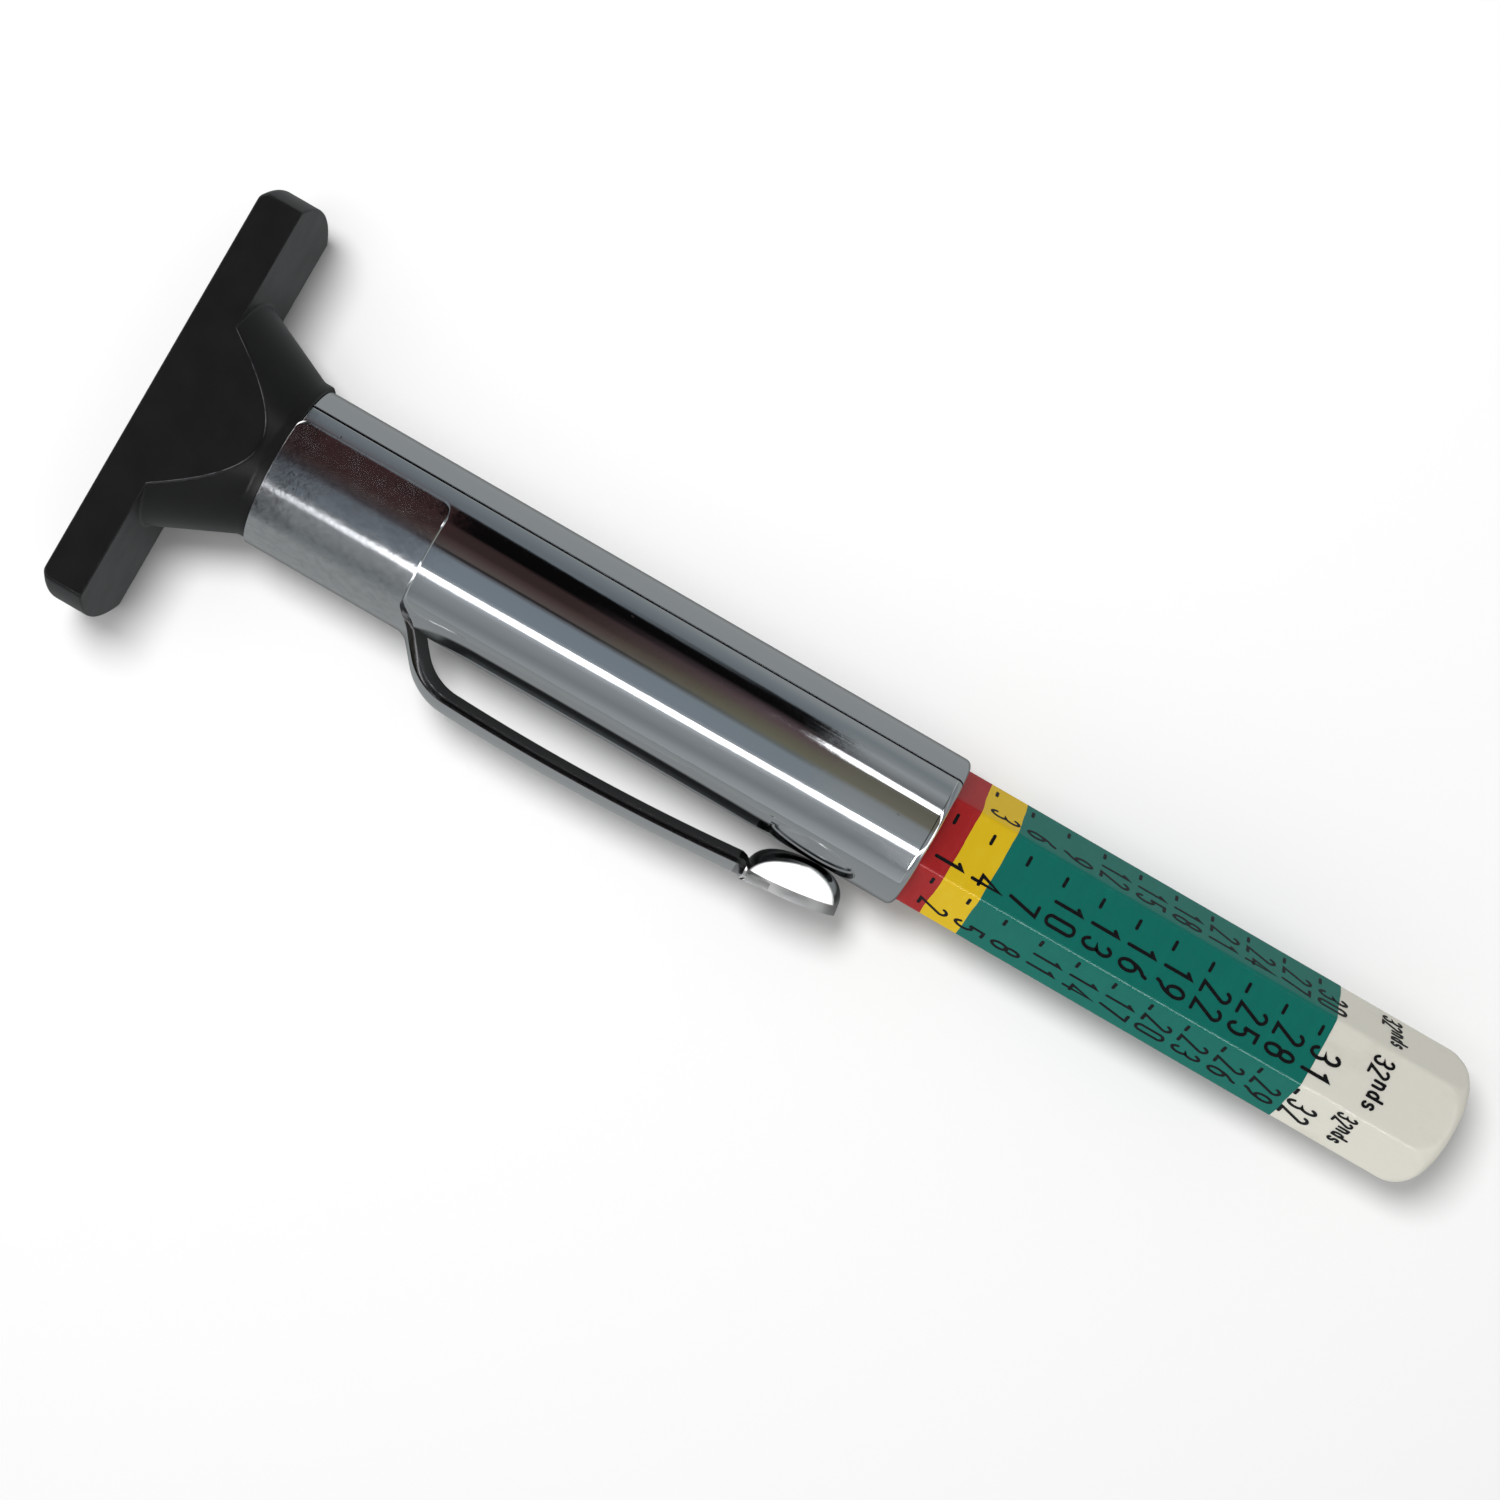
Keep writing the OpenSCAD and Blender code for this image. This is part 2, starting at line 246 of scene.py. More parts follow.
class Graph:
    """The node tree of a material or a world, written as nested calls."""

    def __init__(self, owner):
        self.owner = owner
        self.tree = owner.node_tree
        self.tree.nodes.clear()

    def add(self, kind, output=0, props=None, **inputs):
        """Adds a node. Its inputs are given by name, or by number as i0, i1 and so on."""
        node = self.tree.nodes.new("ShaderNode" + kind)
        for key, value in (props or {}).items():
            setattr(node, key, value)
        for key, value in inputs.items():
            numbered = key[0] == "i" and key[1:].isdigit()
            socket = node.inputs[int(key[1:]) if numbered else key.replace("_", " ")]
            if isinstance(value, Value):
                self.tree.links.new(value.socket, socket)
            else:
                socket.default_value = value
        return Value(self, node.outputs[output]) if node.outputs else None

    def math(self, operation, a, b=0.0):
        return self.add("Math", props={"operation": operation}, i0=a, i1=b)

    def fit(self, value, low=0.0, high=1.0, start=0.0, end=1.0, clamp=True):
        """Maps low..high to start..end."""
        return self.add("MapRange", props={"clamp": clamp}, Value=value, i1=low, i2=high, i3=start, i4=end)

    def xyz(self, vector):
        node = self.tree.nodes.new("ShaderNodeSeparateXYZ")
        self.tree.links.new(vector.socket, node.inputs[0])
        return [Value(self, output) for output in node.outputs]

    def place(self):
        """x, y and z in the object's own coordinates."""
        return self.xyz(self.add("TexCoord", output=3))

    def facing(self):
        """x, y and z of the direction that the surface faces."""
        return self.xyz(self.add("TexCoord", output=1))

    def seen_directly(self):
        """1 where the camera looks, 0 in mirror images and for the light that a surface spreads."""
        return self.add("LightPath", output=0)

    def seen_mirrored(self):
        return self.add("LightPath", output=3)

    def mix(self, factor, a, b):
        """Mixes two colours."""
        return self.add("Mix", output=2, props={"data_type": "RGBA"}, i0=factor, i6=rgba(a), i7=rgba(b))

    def ramp(self, factor, stops):
        """stops is a list of (place, colour or grey)."""
        node = self.tree.nodes.new("ShaderNodeValToRGB")
        elements = node.color_ramp.elements
        while len(elements) < len(stops):
            elements.new(0.5)
        for element, (place, colour) in zip(elements, stops):
            element.position = place
            element.color = rgba((colour,) * 3 if isinstance(colour, (int, float)) else colour)
        self.tree.links.new(factor.socket, node.inputs[0])
        return Value(self, node.outputs[0])

    def stretched(self, along, across):
        """Object coordinates in millimetres, scaled along X and across it."""
        position = self.add("TexCoord", output=3)
        return self.add("Mapping", Vector=position, Scale=(along / MM, across / MM, across / MM))

    def noise(self, along, across, detail=3.0, roughness=0.6):
        """Noise whose number of lumps in a millimetre is given along X and across it."""
        place = self.stretched(along, across)
        return self.add("TexNoise", Vector=place, Scale=1.0, Detail=detail, Roughness=roughness)

    def bump(self, height, strength, depth):
        return self.add("Bump", Strength=strength, Distance=depth * MM, Height=height)

    def principled(self, **inputs):
        """Adds the shader and the output, and gives the finished material."""
        self.add("OutputMaterial", Surface=self.add("BsdfPrincipled", **inputs))
        return self.owner


def new_material(name, preview):
    material = bpy.data.materials.new(name)
    material.use_nodes = True
    material.diffuse_color = rgba(preview)
    return Graph(material)


# ---------------------------------------------------------------- materials


def black_plastic(name, dark, light, roughness):
    """Moulded black plastic with a fine satin grain and faint flow mottling."""
    g = new_material(name, (0.02, 0.02, 0.02))
    grain = g.noise(9.0, 9.0, 4.0)
    mottle = g.noise(0.6, 0.6, 3.0, 0.5)
    return g.principled(Base_Color=g.mix(mottle, (dark, dark, dark * 1.06), (light, light, light * 1.02)),
                        Roughness=g.fit(mottle, start=roughness, end=roughness + 0.1),
                        Normal=g.bump(grain, 0.22, 0.012), Specular_IOR_Level=0.2)


def rubbed_plastic():
    """The black plastic where a flat cuts the cone, with a painted highlight: a thin, broken light line
    where the rounded edge faces nearly straight up or down.
    """
    g = new_material("black_plastic_painted_edge_highlight", (0.02, 0.02, 0.02))
    _, _, facing_z = g.facing()
    _, y, _ = g.place()
    highlight_crest = g.fit(abs(abs(facing_z) - 0.975), low=0.006, high=0.016, start=1.0, end=0.0)
    apart = g.fit(abs(y), low=0.35 * MM, high=1.3 * MM)
    broken = g.ramp(g.noise(1.3, 1.3), [(0.36, 0.15), (0.62, 1.0)])
    colour = g.mix(highlight_crest * (apart * broken), (0.008, 0.008, 0.009), (0.16, 0.16, 0.165))
    return g.principled(Base_Color=colour, Roughness=0.34, Specular_IOR_Level=0.16)


def chrome(g, tint, roughness, line_depth, peel_depth, dents=None, painted_white=None, darkened=None, dulled=None,
           mirror_glow=None):
    """Bright plating: fine polishing lines along the part, a slight orange peel and a few pits.

    The masks run from 0 to 1, in the order of the arguments: where the plating is peened; where a white
    highlight is painted; where it is painted dark (shade and dark reflections on the clip, grime in the
    sleeve's seam); where dull grey shade is painted and roughness raised; where a faint grey glow paints a
    reflection.
    """
    cell = g.add("TexVoronoi", props={"feature": "F1"}, Vector=g.stretched(0.4, 0.4), Scale=1.0)
    pits = g.ramp(cell, [(0.0, 1.0), (0.035, 0.0)])
    height = g.noise(0.05, 14.0, 2.0) * line_depth + g.noise(0.5, 0.9, 3.0, 0.55) * peel_depth - pits * 0.004
    rough = g.fit(g.noise(0.25, 0.8, 4.0), low=0.35, high=0.75, start=roughness, end=roughness + 0.03)
    colour = g.mix(pits, tint, (0.9, 0.9, 0.9))
    metal = 1.0
    glow = {}
    if dents:
        height += g.noise(1.6, 2.4) * dents * 0.004
        rough += dents * g.ramp(g.noise(0.7, 1.1, 4.0), [(0.38, 0.01), (0.66, 0.08)])
        worn = g.ramp(g.noise(1.8, 2.6, 4.0), [(0.40, 0.0), (0.66, 1.0)])
        colour = g.mix(worn * dents * 0.17, colour, (0.2, 0.2, 0.2))
    # painted highlight: a white, partly non-metallic patch, broken by noise and varied by tarnish
    if painted_white:
        white_patches = painted_white * g.ramp(g.noise(1.2, 1.2, 5.0, 0.7), [(0.24, 0.6), (0.42, 1.0)])
        tarnish = g.ramp(g.noise(0.7, 1.4, 4.0), [(0.4, 0.0), (0.7, 1.0)])
        metal = 1.0 - white_patches
        colour = g.mix(white_patches, colour, g.mix(tarnish, (0.95, 0.95, 0.94), (0.84, 0.84, 0.84)))
        rough += white_patches * 0.2
    # painted shade and dark reflections on the clip; on the sleeve, grime in the seam
    if darkened:
        colour = g.mix(darkened, colour, (0.09, 0.09, 0.092))
        rough += darkened * 0.12
    # painted shade: a dull grey tone, with the roughness raised
    if dulled:
        colour = g.mix(dulled, colour, (0.42, 0.42, 0.42))
        rough += dulled * 0.45
    # painted reflection: a nearly black colour with a faint grey glow
    if mirror_glow:
        colour = g.mix(mirror_glow, colour, (0.02, 0.02, 0.02))
        glow = {"Emission_Color": (0.30, 0.31, 0.315, 1.0), "Emission_Strength": mirror_glow}
    return g.principled(Base_Color=colour, Metallic=metal, Roughness=rough, Normal=g.bump(height, 1.0, 1.0),
                        **glow)


def tube_plating():
    """The sleeve's plating, with grime caught in the butt seam."""
    tint = (0.66, 0.68, 0.69)
    g = new_material("tube_chrome", tint)
    _, y, z = g.place()
    seam_y, seam_z = unit_circle(-SEAM_ANGLE)
    off_seam = abs(y * seam_z - z * seam_y)
    grime = g.fit(off_seam, low=0.06 * MM, high=0.1 * MM, start=1.0, end=0.0) * (y > 0.0)
    return chrome(g, tint, 0.03, 0.0008, 0.0028, darkened=grime)


def clip_plating():
    """The clip's plating: lightly peened round the band, with a white highlight, shade and reflections
    painted on.

    The strip keeps its place at rest in an attribute, from which the masks are read.
    """
    tint = (0.67, 0.68, 0.685)
    g = new_material("clip_chrome", tint)
    direct = g.seen_directly()
    mirrored = 1.0 - direct
    facing_x, facing_y, facing_z = g.facing()
    x, y, z = g.xyz(g.add("Attribute", output=1, props={"attribute_name": "rest_place"}))
    # y before the clip was rolled, and the height above the cup's outer plane, towards the sleeve
    roll = math.radians(CLIP_ROLL)
    y_flat = y * math.cos(roll) + z * math.sin(roll)
    height = (y_flat + CUP_PLANE_R * MM) * math.cos(CUP_LEAN) - (x - CUP_X * MM) * math.sin(CUP_LEAN)

    on_band = g.fit(x, low=(BAND_END - 0.4) * MM, high=(BAND_END + 0.25) * MM, start=1.0, end=0.0)
    on_cup = x > (ARM_TIP - 2 * CUP_RIM_R + 0.04) * MM
    on_dome = on_cup * (height > (CLIP_T + 0.17) * MM)
    on_arm = (x > (BAND_END + 0.5) * MM) * (1.0 - on_cup)

    # painted highlight: to the camera the dome is white where it faces up, less so on its flanks, above all
    # the one towards the arm
    lift = g.fit(height, low=CLIP_T * MM, high=(CLIP_T + 1.5) * MM)
    turned_away = (facing_x * -0.5 | 0.0) * lift
    turned_to = (facing_x * 0.35 | 0.0) * lift
    flank = g.fit(abs(facing_z) - turned_away - turned_to, low=0.38, high=0.48)
    painted_white = direct * (flank * on_dome)

    # painted shade and dark reflections: the strip's edges, its root, its neck, the near side of the dome,
    # and the cup in mirror images
    edge = g.fit(abs(facing_z), low=0.72, high=0.86)
    dome = on_dome * (g.fit(facing_x, low=0.0, high=-0.3) * (1.0 - flank))
    neck = (x > (CUP_X - NECK_START) * MM) * (x < (CUP_X - NECK_END) * MM)
    neck_low = neck * ((facing_y < -0.7) | (height < 0.3 * MM))
    neck_high = (neck - neck_low) * (1.0 - on_dome)
    at_root = (x < (BAND_END + 1.7) * MM) * (y_flat < -2.6 * MM)
    root_edge = at_root * g.fit(facing_x, low=0.2, high=0.35) * (facing_z > -0.1) * (abs(facing_y) < 0.5)
    darkened = edge * on_arm | dome | on_cup * mirrored | root_edge | neck_high | neck_low * 0.6
    # painted shade: the cup's wall, and at half strength the underside of the neck, are painted dull grey
    cup_wall = on_cup * (1.0 - on_dome) * (abs(facing_y) < 0.5)

    # painted reflection: in the sleeve's mirror image the upper parts of the arm's inner face and root, and
    # bands on the dome, glow light grey
    inner = g.fit(z, low=0.3 * MM, high=0.9 * MM) * (facing_y > 0.3)
    near_root = (x > BAND_END * MM) * (x < (BAND_END + FLEX_LENGTH) * MM)
    root_mirror_glow = near_root * g.fit(z, low=0.9 * MM, high=1.5 * MM)
    dome_mirror_glow = g.ramp(z / (3.0 * MM), [(0.25, 0.0), (0.28, 0.9), (0.34, 0.9), (0.37, 0.0), (0.42, 0.0),
                                        (0.48, 1.0)])
    mirror_glow = mirrored * (inner * on_arm | dome_mirror_glow * on_cup | root_mirror_glow)
    return chrome(g, tint, 0.05, 0.0006, 0.004, dents=on_band, painted_white=painted_white, darkened=darkened,
                  dulled=cup_wall | neck_low * 0.5, mirror_glow=mirror_glow)


def white_plastic():
    """Warm white moulded plastic, a little translucent, with faint handling marks."""
    g = new_material("warm_white_plastic", (0.78, 0.76, 0.7))
    smudge = g.noise(0.25, 0.5, 4.0, 0.65)
    grime = g.ramp(smudge, [(0.56, 0.0), (0.78, 1.0)])
    return g.principled(Base_Color=g.mix(grime * 0.35, (0.81, 0.79, 0.70), (0.60, 0.55, 0.46)),
                        Roughness=g.fit(smudge, start=0.26, end=0.42),
                        Normal=g.bump(g.noise(5.0, 5.0, 4.0), 0.15, 0.01),
                        Subsurface_Weight=0.12, Subsurface_Scale=0.8 * MM,
                        Subsurface_Radius=(1.0, 0.85, 0.65))


def printed_ink(name, colour, thin_colour, roughness=0.2):
    """A pad-printed coat: slightly uneven in thickness, so that the plastic tints it in places."""
    g = new_material(name, colour)
    streak = g.noise(1.6, 0.5, 4.0, 0.65)
    speck = g.noise(6.0, 6.0, 2.0, 0.5)
    thin = g.ramp(streak, [(0.45, 0.0), (0.8, 1.0)])
    return g.principled(Base_Color=g.mix(thin * 0.5, colour, thin_colour),
                        Roughness=g.fit(speck, start=roughness - 0.04, end=roughness + 0.1),
                        Normal=g.bump(streak + speck * 0.6, 0.25, 0.008), Specular_IOR_Level=0.3)


def black_ink():
    """Black print with slightly starved, uneven patches."""
    g = new_material("black_print", (0.012, 0.012, 0.014))
    patch = g.noise(4.0, 4.0)
    starved = g.ramp(patch, [(0.55, 0.0), (0.85, 1.0)])
    return g.principled(Base_Color=g.mix(starved * 0.6, (0.007, 0.007, 0.009), (0.03, 0.033, 0.033)),
                        Roughness=0.3, Normal=g.bump(patch, 0.3, 0.006), Specular_IOR_Level=0.15)


def drawn_steel(name, tint, roughness):
    """Plain steel wire with fine rings round it from drawing and turning."""
    g = new_material(name, tint)
    patchy = g.noise(0.6, 0.6)
    return g.principled(Base_Color=g.mix(patchy * 0.5, tint, tuple(0.6 * c for c in tint)), Metallic=1.0,
                        Roughness=g.fit(patchy, start=roughness, end=roughness + 0.15),
                        Normal=g.bump(g.noise(9.0, 0.4), 0.35, 0.01))


def ring_rubber():
    """Matt black rubber with a light dusting of grease."""
    g = new_material("friction_rubber", (0.015, 0.015, 0.015))
    grease = g.noise(0.8, 0.8, 4.0)
    return g.principled(Base_Color=g.mix(grease, (0.010, 0.010, 0.011), (0.03, 0.029, 0.027)),
                        Roughness=g.fit(grease, start=0.75, end=0.4),
                        Normal=g.bump(g.noise(12.0, 12.0), 0.3, 0.008))


BLACK_PLASTIC = black_plastic("moulded_black_plastic", 0.006, 0.011, 0.30)
EDGE_HIGHLIGHT_PLASTIC = rubbed_plastic()
TUBE_CHROME = tube_plating()
CLIP_CHROME = clip_plating()
WHITE_PLASTIC = white_plastic()
RED_INK = printed_ink("red_print", (0.40, 0.014, 0.016), (0.47, 0.03, 0.03))
YELLOW_INK = printed_ink("yellow_print", (0.80, 0.53, 0.004), (0.84, 0.60, 0.02))
GREEN_INK = printed_ink("green_print", (0.002, 0.165, 0.130), (0.003, 0.195, 0.155))
BLACK_INK = black_ink()
PROBE_STEEL = drawn_steel("probe_wire_steel", (0.55, 0.55, 0.56), 0.22)
RING_STEEL = drawn_steel("stop_ring_steel", (0.36, 0.36, 0.37), 0.32)
RING_RUBBER = ring_rubber()

# ---------------------------------------------------------------- tee head


def tee_head():
    """A disc, cone and collar of revolution between two flats. Every crisp edge is then rounded.

    Columns of the cone run along it, and end where they meet the flats, so the curved edges between
    cone and flat fall on clean rows of points.
    """
    bm = bmesh.new()
    seen = {}

    def vertex(x, y, z):
        key = (round(x, 5), round(y, 5), round(z, 5))
        if key not in seen:
            seen[key] = bm.verts.new((x * MM, y * MM, z * MM))
        return seen[key]

    def face(corners):
        unique = []
        for corner in corners:
            if corner not in unique:
                unique.append(corner)
        if len(unique) > 2:
            bm.faces.new(unique)

    def side_arc(x, r, side, columns):
        """A row of points on one side of the head, from the lower flat to the upper one."""
        limit = math.asin(min(1.0, FLAT_Z / r))
        angles = [limit * c for c in columns]
        return [vertex(x, side * r * math.cos(a), r * math.sin(a)) for a in angles]

    def strip(row_a, row_b):
        for i in range(len(row_a) - 1):
            face((row_a[i], row_a[i + 1], row_b[i + 1], row_b[i]))

    even = np.linspace(-1, 1, 25)
    disc = arc_points((FOOT_X + RIM_R, FOOT_R - RIM_R), RIM_R, -90, 0, 8) + [(FOOT_T, FOOT_R)]

    # the cone's columns: an even set below the corner of the flat, then one for each step of its edge
    corner_angle = math.degrees(math.asin(FLAT_Z / CONE_R))
    below = np.linspace(-corner_angle, corner_angle, 23)
    above = np.linspace(corner_angle, 90, 12)[1:]
    cone_angles = [-a for a in above[::-1]] + list(below) + list(above)
    slope = (COLLAR_X - FOOT_T) / (CONE_R - COLLAR_R)

    def cone_foot(angle, side):
        a = math.radians(angle)
        r = CONE_R if abs(angle) <= corner_angle + 1e-6 else FLAT_Z / abs(math.sin(a))
        return vertex(FOOT_T + (CONE_R - r) * slope, side * r * math.cos(a), r * math.sin(a))

    def ring_arc(x, r, side):
        return [vertex(x, side * r * math.cos(math.radians(a)), r * math.sin(math.radians(a)))
                for a in cone_angles]

    body_rows = [(COLLAR_X, COLLAR_R), (SLEEVE_X, COLLAR_R), (SLEEVE_X, BORE_R - 0.02),
                 (SPIGOT_END - 0.4, BORE_R - 0.02), (SPIGOT_END, BORE_R - 0.42),
                 (SPIGOT_END, PROBE_HOLE_R + 0.1), (SPIGOT_END - 0.1, PROBE_HOLE_R),
                 (FOOT_X + 0.15, PROBE_HOLE_R), (FOOT_X, PROBE_HOLE_R + 0.15)]
    flat_edge = {}
    front = {}
    for side in (1, -1):
        rows = [side_arc(x, r, side, even) for x, r in disc]
        for a, b in zip(rows, rows[1:]):
            strip(a, b)
        feet = [cone_foot(a, side) for a in cone_angles]
        collar_rows = [ring_arc(x, r, side) for x, r in body_rows]
        strip(feet, collar_rows[0])
        for a, b in zip(collar_rows, collar_rows[1:]):
            strip(a, b)
        # the disc's back, from its rim to the foot of the cone
        inner = [f for f, angle in zip(feet, cone_angles) if abs(angle) <= corner_angle + 1e-6]
        face(rows[-1] + inner[::-1])
        for level in (1, -1):
            edge = [row[-1 if level > 0 else 0] for row in rows]
            edge += [f for f, a in list(zip(feet, cone_angles))[::level] if level * a >= corner_angle - 1e-6]
            flat_edge[side, level] = edge
        front[side] = (rows[0], collar_rows[-1])
    for level in (1, -1):
        face(flat_edge[1, level] + flat_edge[-1, level][::-1])
    # the foot's face is two halves that meet on a line through the probe's hole
    for side in (1, -1):
        outer, hole = front[side]
        top = vertex(FOOT_X, 0, FLAT_Z)
        low = vertex(FOOT_X, 0, -FLAT_Z)
        face([low] + outer + [top] + hole[::-1])
    # the middles of the foot face's straight edges belong to the flats too
    bmesh.ops.remove_doubles(bm, verts=bm.verts, dist=1e-4 * MM)
    middles = [seen[k] for k in seen if abs(k[0] - FOOT_X) < 1e-6 and abs(k[1]) < 1e-6]
    split_long_edges(bm, middles)
    bmesh.ops.recalc_face_normals(bm, faces=bm.faces)
    crisp = [e for e in bm.edges if len(e.link_faces) == 2 and e.calc_face_angle() > math.radians(18)
             and max(abs(v.co.x) for v in e.verts) < (SLEEVE_X + 0.01) * MM
             and min(math.hypot(v.co.y, v.co.z) for v in e.verts) > (PROBE_HOLE_R + 0.3) * MM]
    rounded = bevel_edges(bm, crisp, 0.13)["faces"]
    # painted highlight: the rounded faces along the curved edges of flat and cone take the plastic with a
    # light line
    for edge_face in rounded:
        middle = edge_face.calc_center_median() / MM
        if FOOT_T + 0.3 < middle.x < COLLAR_X and abs(middle.z) > FLAT_Z - 0.2:
            edge_face.material_index = 1
    mesh = bpy.data.meshes.new("tee_head_moulding")
    bm.to_mesh(mesh)
    bm.free()
    head = finish_piece("tee_head_moulding", mesh, BLACK_PLASTIC, "body", "black_plastic",
                        replaces=("tee_head",))
    mesh.materials.append(EDGE_HIGHLIGHT_PLASTIC)
    return head


def split_long_edges(bm, verts):
    """Joins loose midpoints into the edge they lie on, so that faces on both sides share them."""
    for v in verts:
        if not v.is_valid:
            continue
        for e in list(bm.edges):
            if v in e.verts:
                continue
            a, b = e.verts[0].co, e.verts[1].co
            along = (b - a).normalized()
            t = (v.co - a).dot(along)
            if 0 < t < (b - a).length and (a + along * t - v.co).length < 1e-6 * MM:
                _, cut = bmesh.utils.edge_split(e, e.verts[0], t / (b - a).length)
                bmesh.ops.pointmerge(bm, verts=[v, cut], merge_co=v.co)
                break


# ---------------------------------------------------------------- sleeve


def sleeve():
    """Rolled tube: one wall swept round from one lip of the butt seam to the other, end curled in."""
    straight_end = SLEEVE_END - LIP_R
    lip_centre = (straight_end, SLEEVE_R - LIP_R)
    edge = 0.06
    outside = arc_points((SLEEVE_X + edge, SLEEVE_R - edge), edge, -90, 0, 3)
    outside += [(SLEEVE_X + 0.1, SLEEVE_R), (SLEEVE_X + 0.2, SLEEVE_R)]
    outside += [(x, SLEEVE_R) for x in np.linspace(SLEEVE_X + 1.0, straight_end - 1.0, 40)]
    outside += [(straight_end - 0.06, SLEEVE_R), (straight_end - 0.02, SLEEVE_R)]
    curl_out = arc_points(lip_centre, LIP_R, 0, 90, 10)
    lip_edge = arc_points((SLEEVE_END - edge, lip_centre[1] - 0.02), edge, 90, 180, 3)
    curl_in = arc_points(lip_centre, LIP_R - WALL, 90, 0, 5)
    inside = [(SLEEVE_X + 0.05, BORE_R), (SLEEVE_X, BORE_R + 0.05)]
    profile = outside + curl_out + lip_edge + curl_in + inside
    half_gap = math.degrees(SEAM_W / 2 / SLEEVE_R)
    soft = math.degrees(0.05 / SLEEVE_R)
    start = -SEAM_ANGLE + half_gap
    end = -SEAM_ANGLE + 360 - half_gap
    angles = [start, start + soft * 0.3, start + soft] + list(np.linspace(start + 1.2, end - 1.2, 239)) \
        + [end - soft, end - soft * 0.3, end]
    points = []
    for i, angle in enumerate(angles):
        from_edge = min(i, len(angles) - 1 - i)
        drop = {0: 0.045, 1: 0.015}.get(from_edge, 0.0)
        y, z = unit_circle(angle)
        for x, r in profile:
            outer = r > BORE_R + WALL * 0.5 and x < straight_end
            points.append((x, (r - drop * outer) * y, (r - drop * outer) * z))
    count = len(profile)
    faces = [tuple(reversed(f)) for f in grid_faces(len(angles), count, closed=True)]
    faces.append(tuple(range(count)))
    faces.append(tuple(reversed(range((len(angles) - 1) * count, len(angles) * count))))
    return make_piece("rolled_sleeve", points, faces, TUBE_CHROME, "body", "chromed_tube",
                      replaces=("sleeve",), weighted=False)


# ---------------------------------------------------------------- pocket clip


def sag(z):
    """How far the band's round face has fallen away at a distance z from its crest."""
    return BAND_R - math.sqrt(BAND_R ** 2 - z ** 2)


def roundness(x):
    """How much of the band's curve the arm still has: it fades out towards the flat rim of the cup."""
    fade = min(1.0, max(0.0, (x - FADE_START) / (CUP_X - CUP_RIM_R - FADE_START)))
    return 1 - fade * fade * (3 - 2 * fade)


def arm_side_view():
    """(x, r) along the arm's outer face, from the band to the cup: bend, climb, shoulder and bow."""
    crown = (CROWN_X, CROWN_R - CROWN_BOW_R)
    lean = math.asin((CROWN_X - SHOULDER_X) / CROWN_BOW_R)
    reach = CROWN_BOW_R - SHOULDER_R
    shoulder = (crown[0] - reach * math.sin(lean), crown[1] + reach * math.cos(lean))
    foot = (shoulder[0] - SHOULDER_R * math.sin(CLIMB), shoulder[1] + SHOULDER_R * math.cos(CLIMB))
    bend_top = BAND_R + ROOT_BEND_R * (1 - math.cos(CLIMB))
    bend_x = foot[0] - (foot[1] - bend_top) / math.tan(CLIMB) - ROOT_BEND_R * math.sin(CLIMB)
    path = [(x, BAND_R) for x in np.linspace(BAND_END, bend_x, 4)[:-1]]
    climb = math.degrees(CLIMB)
    path += arc_points((bend_x, BAND_R + ROOT_BEND_R), ROOT_BEND_R, 180, 180 - climb, 8)
    top_x, top_r = path[-1]
    path += [(top_x * (1 - t) + foot[0] * t, top_r * (1 - t) + foot[1] * t) for t in (0.33, 0.67)]
    path += arc_points(shoulder, SHOULDER_R, -climb, -math.degrees(lean), 14)
    # the steps are finer over the cup and just before it
    fine = math.degrees(math.asin((CUP_X - 3.2 - CROWN_X) / CROWN_BOW_R))
    path += arc_points(crown, CROWN_BOW_R, -math.degrees(lean), fine, 30)[1:]
    path += arc_points(crown, CROWN_BOW_R, fine, math.degrees(CUP_LEAN), 24)[1:]
    return path


def band_rows(spread):
    """The band: all the way round, with round corners where the wrap ends."""
    corner = [BAND_CORNER_R * (1 - math.cos(math.radians(a))) for a in range(0, 91, 11)] + [BAND_CORNER_R]
    xs = [SLEEVE_X + d for d in corner] + list(np.linspace(SLEEVE_X + 1.2, BAND_END - 1.2, 14)) \
        + [BAND_END - d for d in corner]
    root_angles = np.degrees(np.arcsin(spread * ARM_ROOT_HALF_W / BAND_R))
    wrap = math.radians(BAND_HALF_WRAP) * BAND_R
    rows = []
    for x in sorted(set(round(x, 5) for x in xs)):
        inset = max(0.0, BAND_CORNER_R - min(x - SLEEVE_X, BAND_END - x))
        cut = BAND_CORNER_R - math.sqrt(max(0.0, BAND_CORNER_R ** 2 - inset ** 2))
        limit = math.degrees((wrap - cut) / BAND_R)
        up = np.linspace(root_angles[-1], limit, BAND_SIDE_STEPS + 1)[1:]
        angles = list(-up[::-1]) + list(root_angles) + list(up)
        rows.append([(x, *(BAND_R * unit_circle(90 + a))) for a in angles])
    return rows


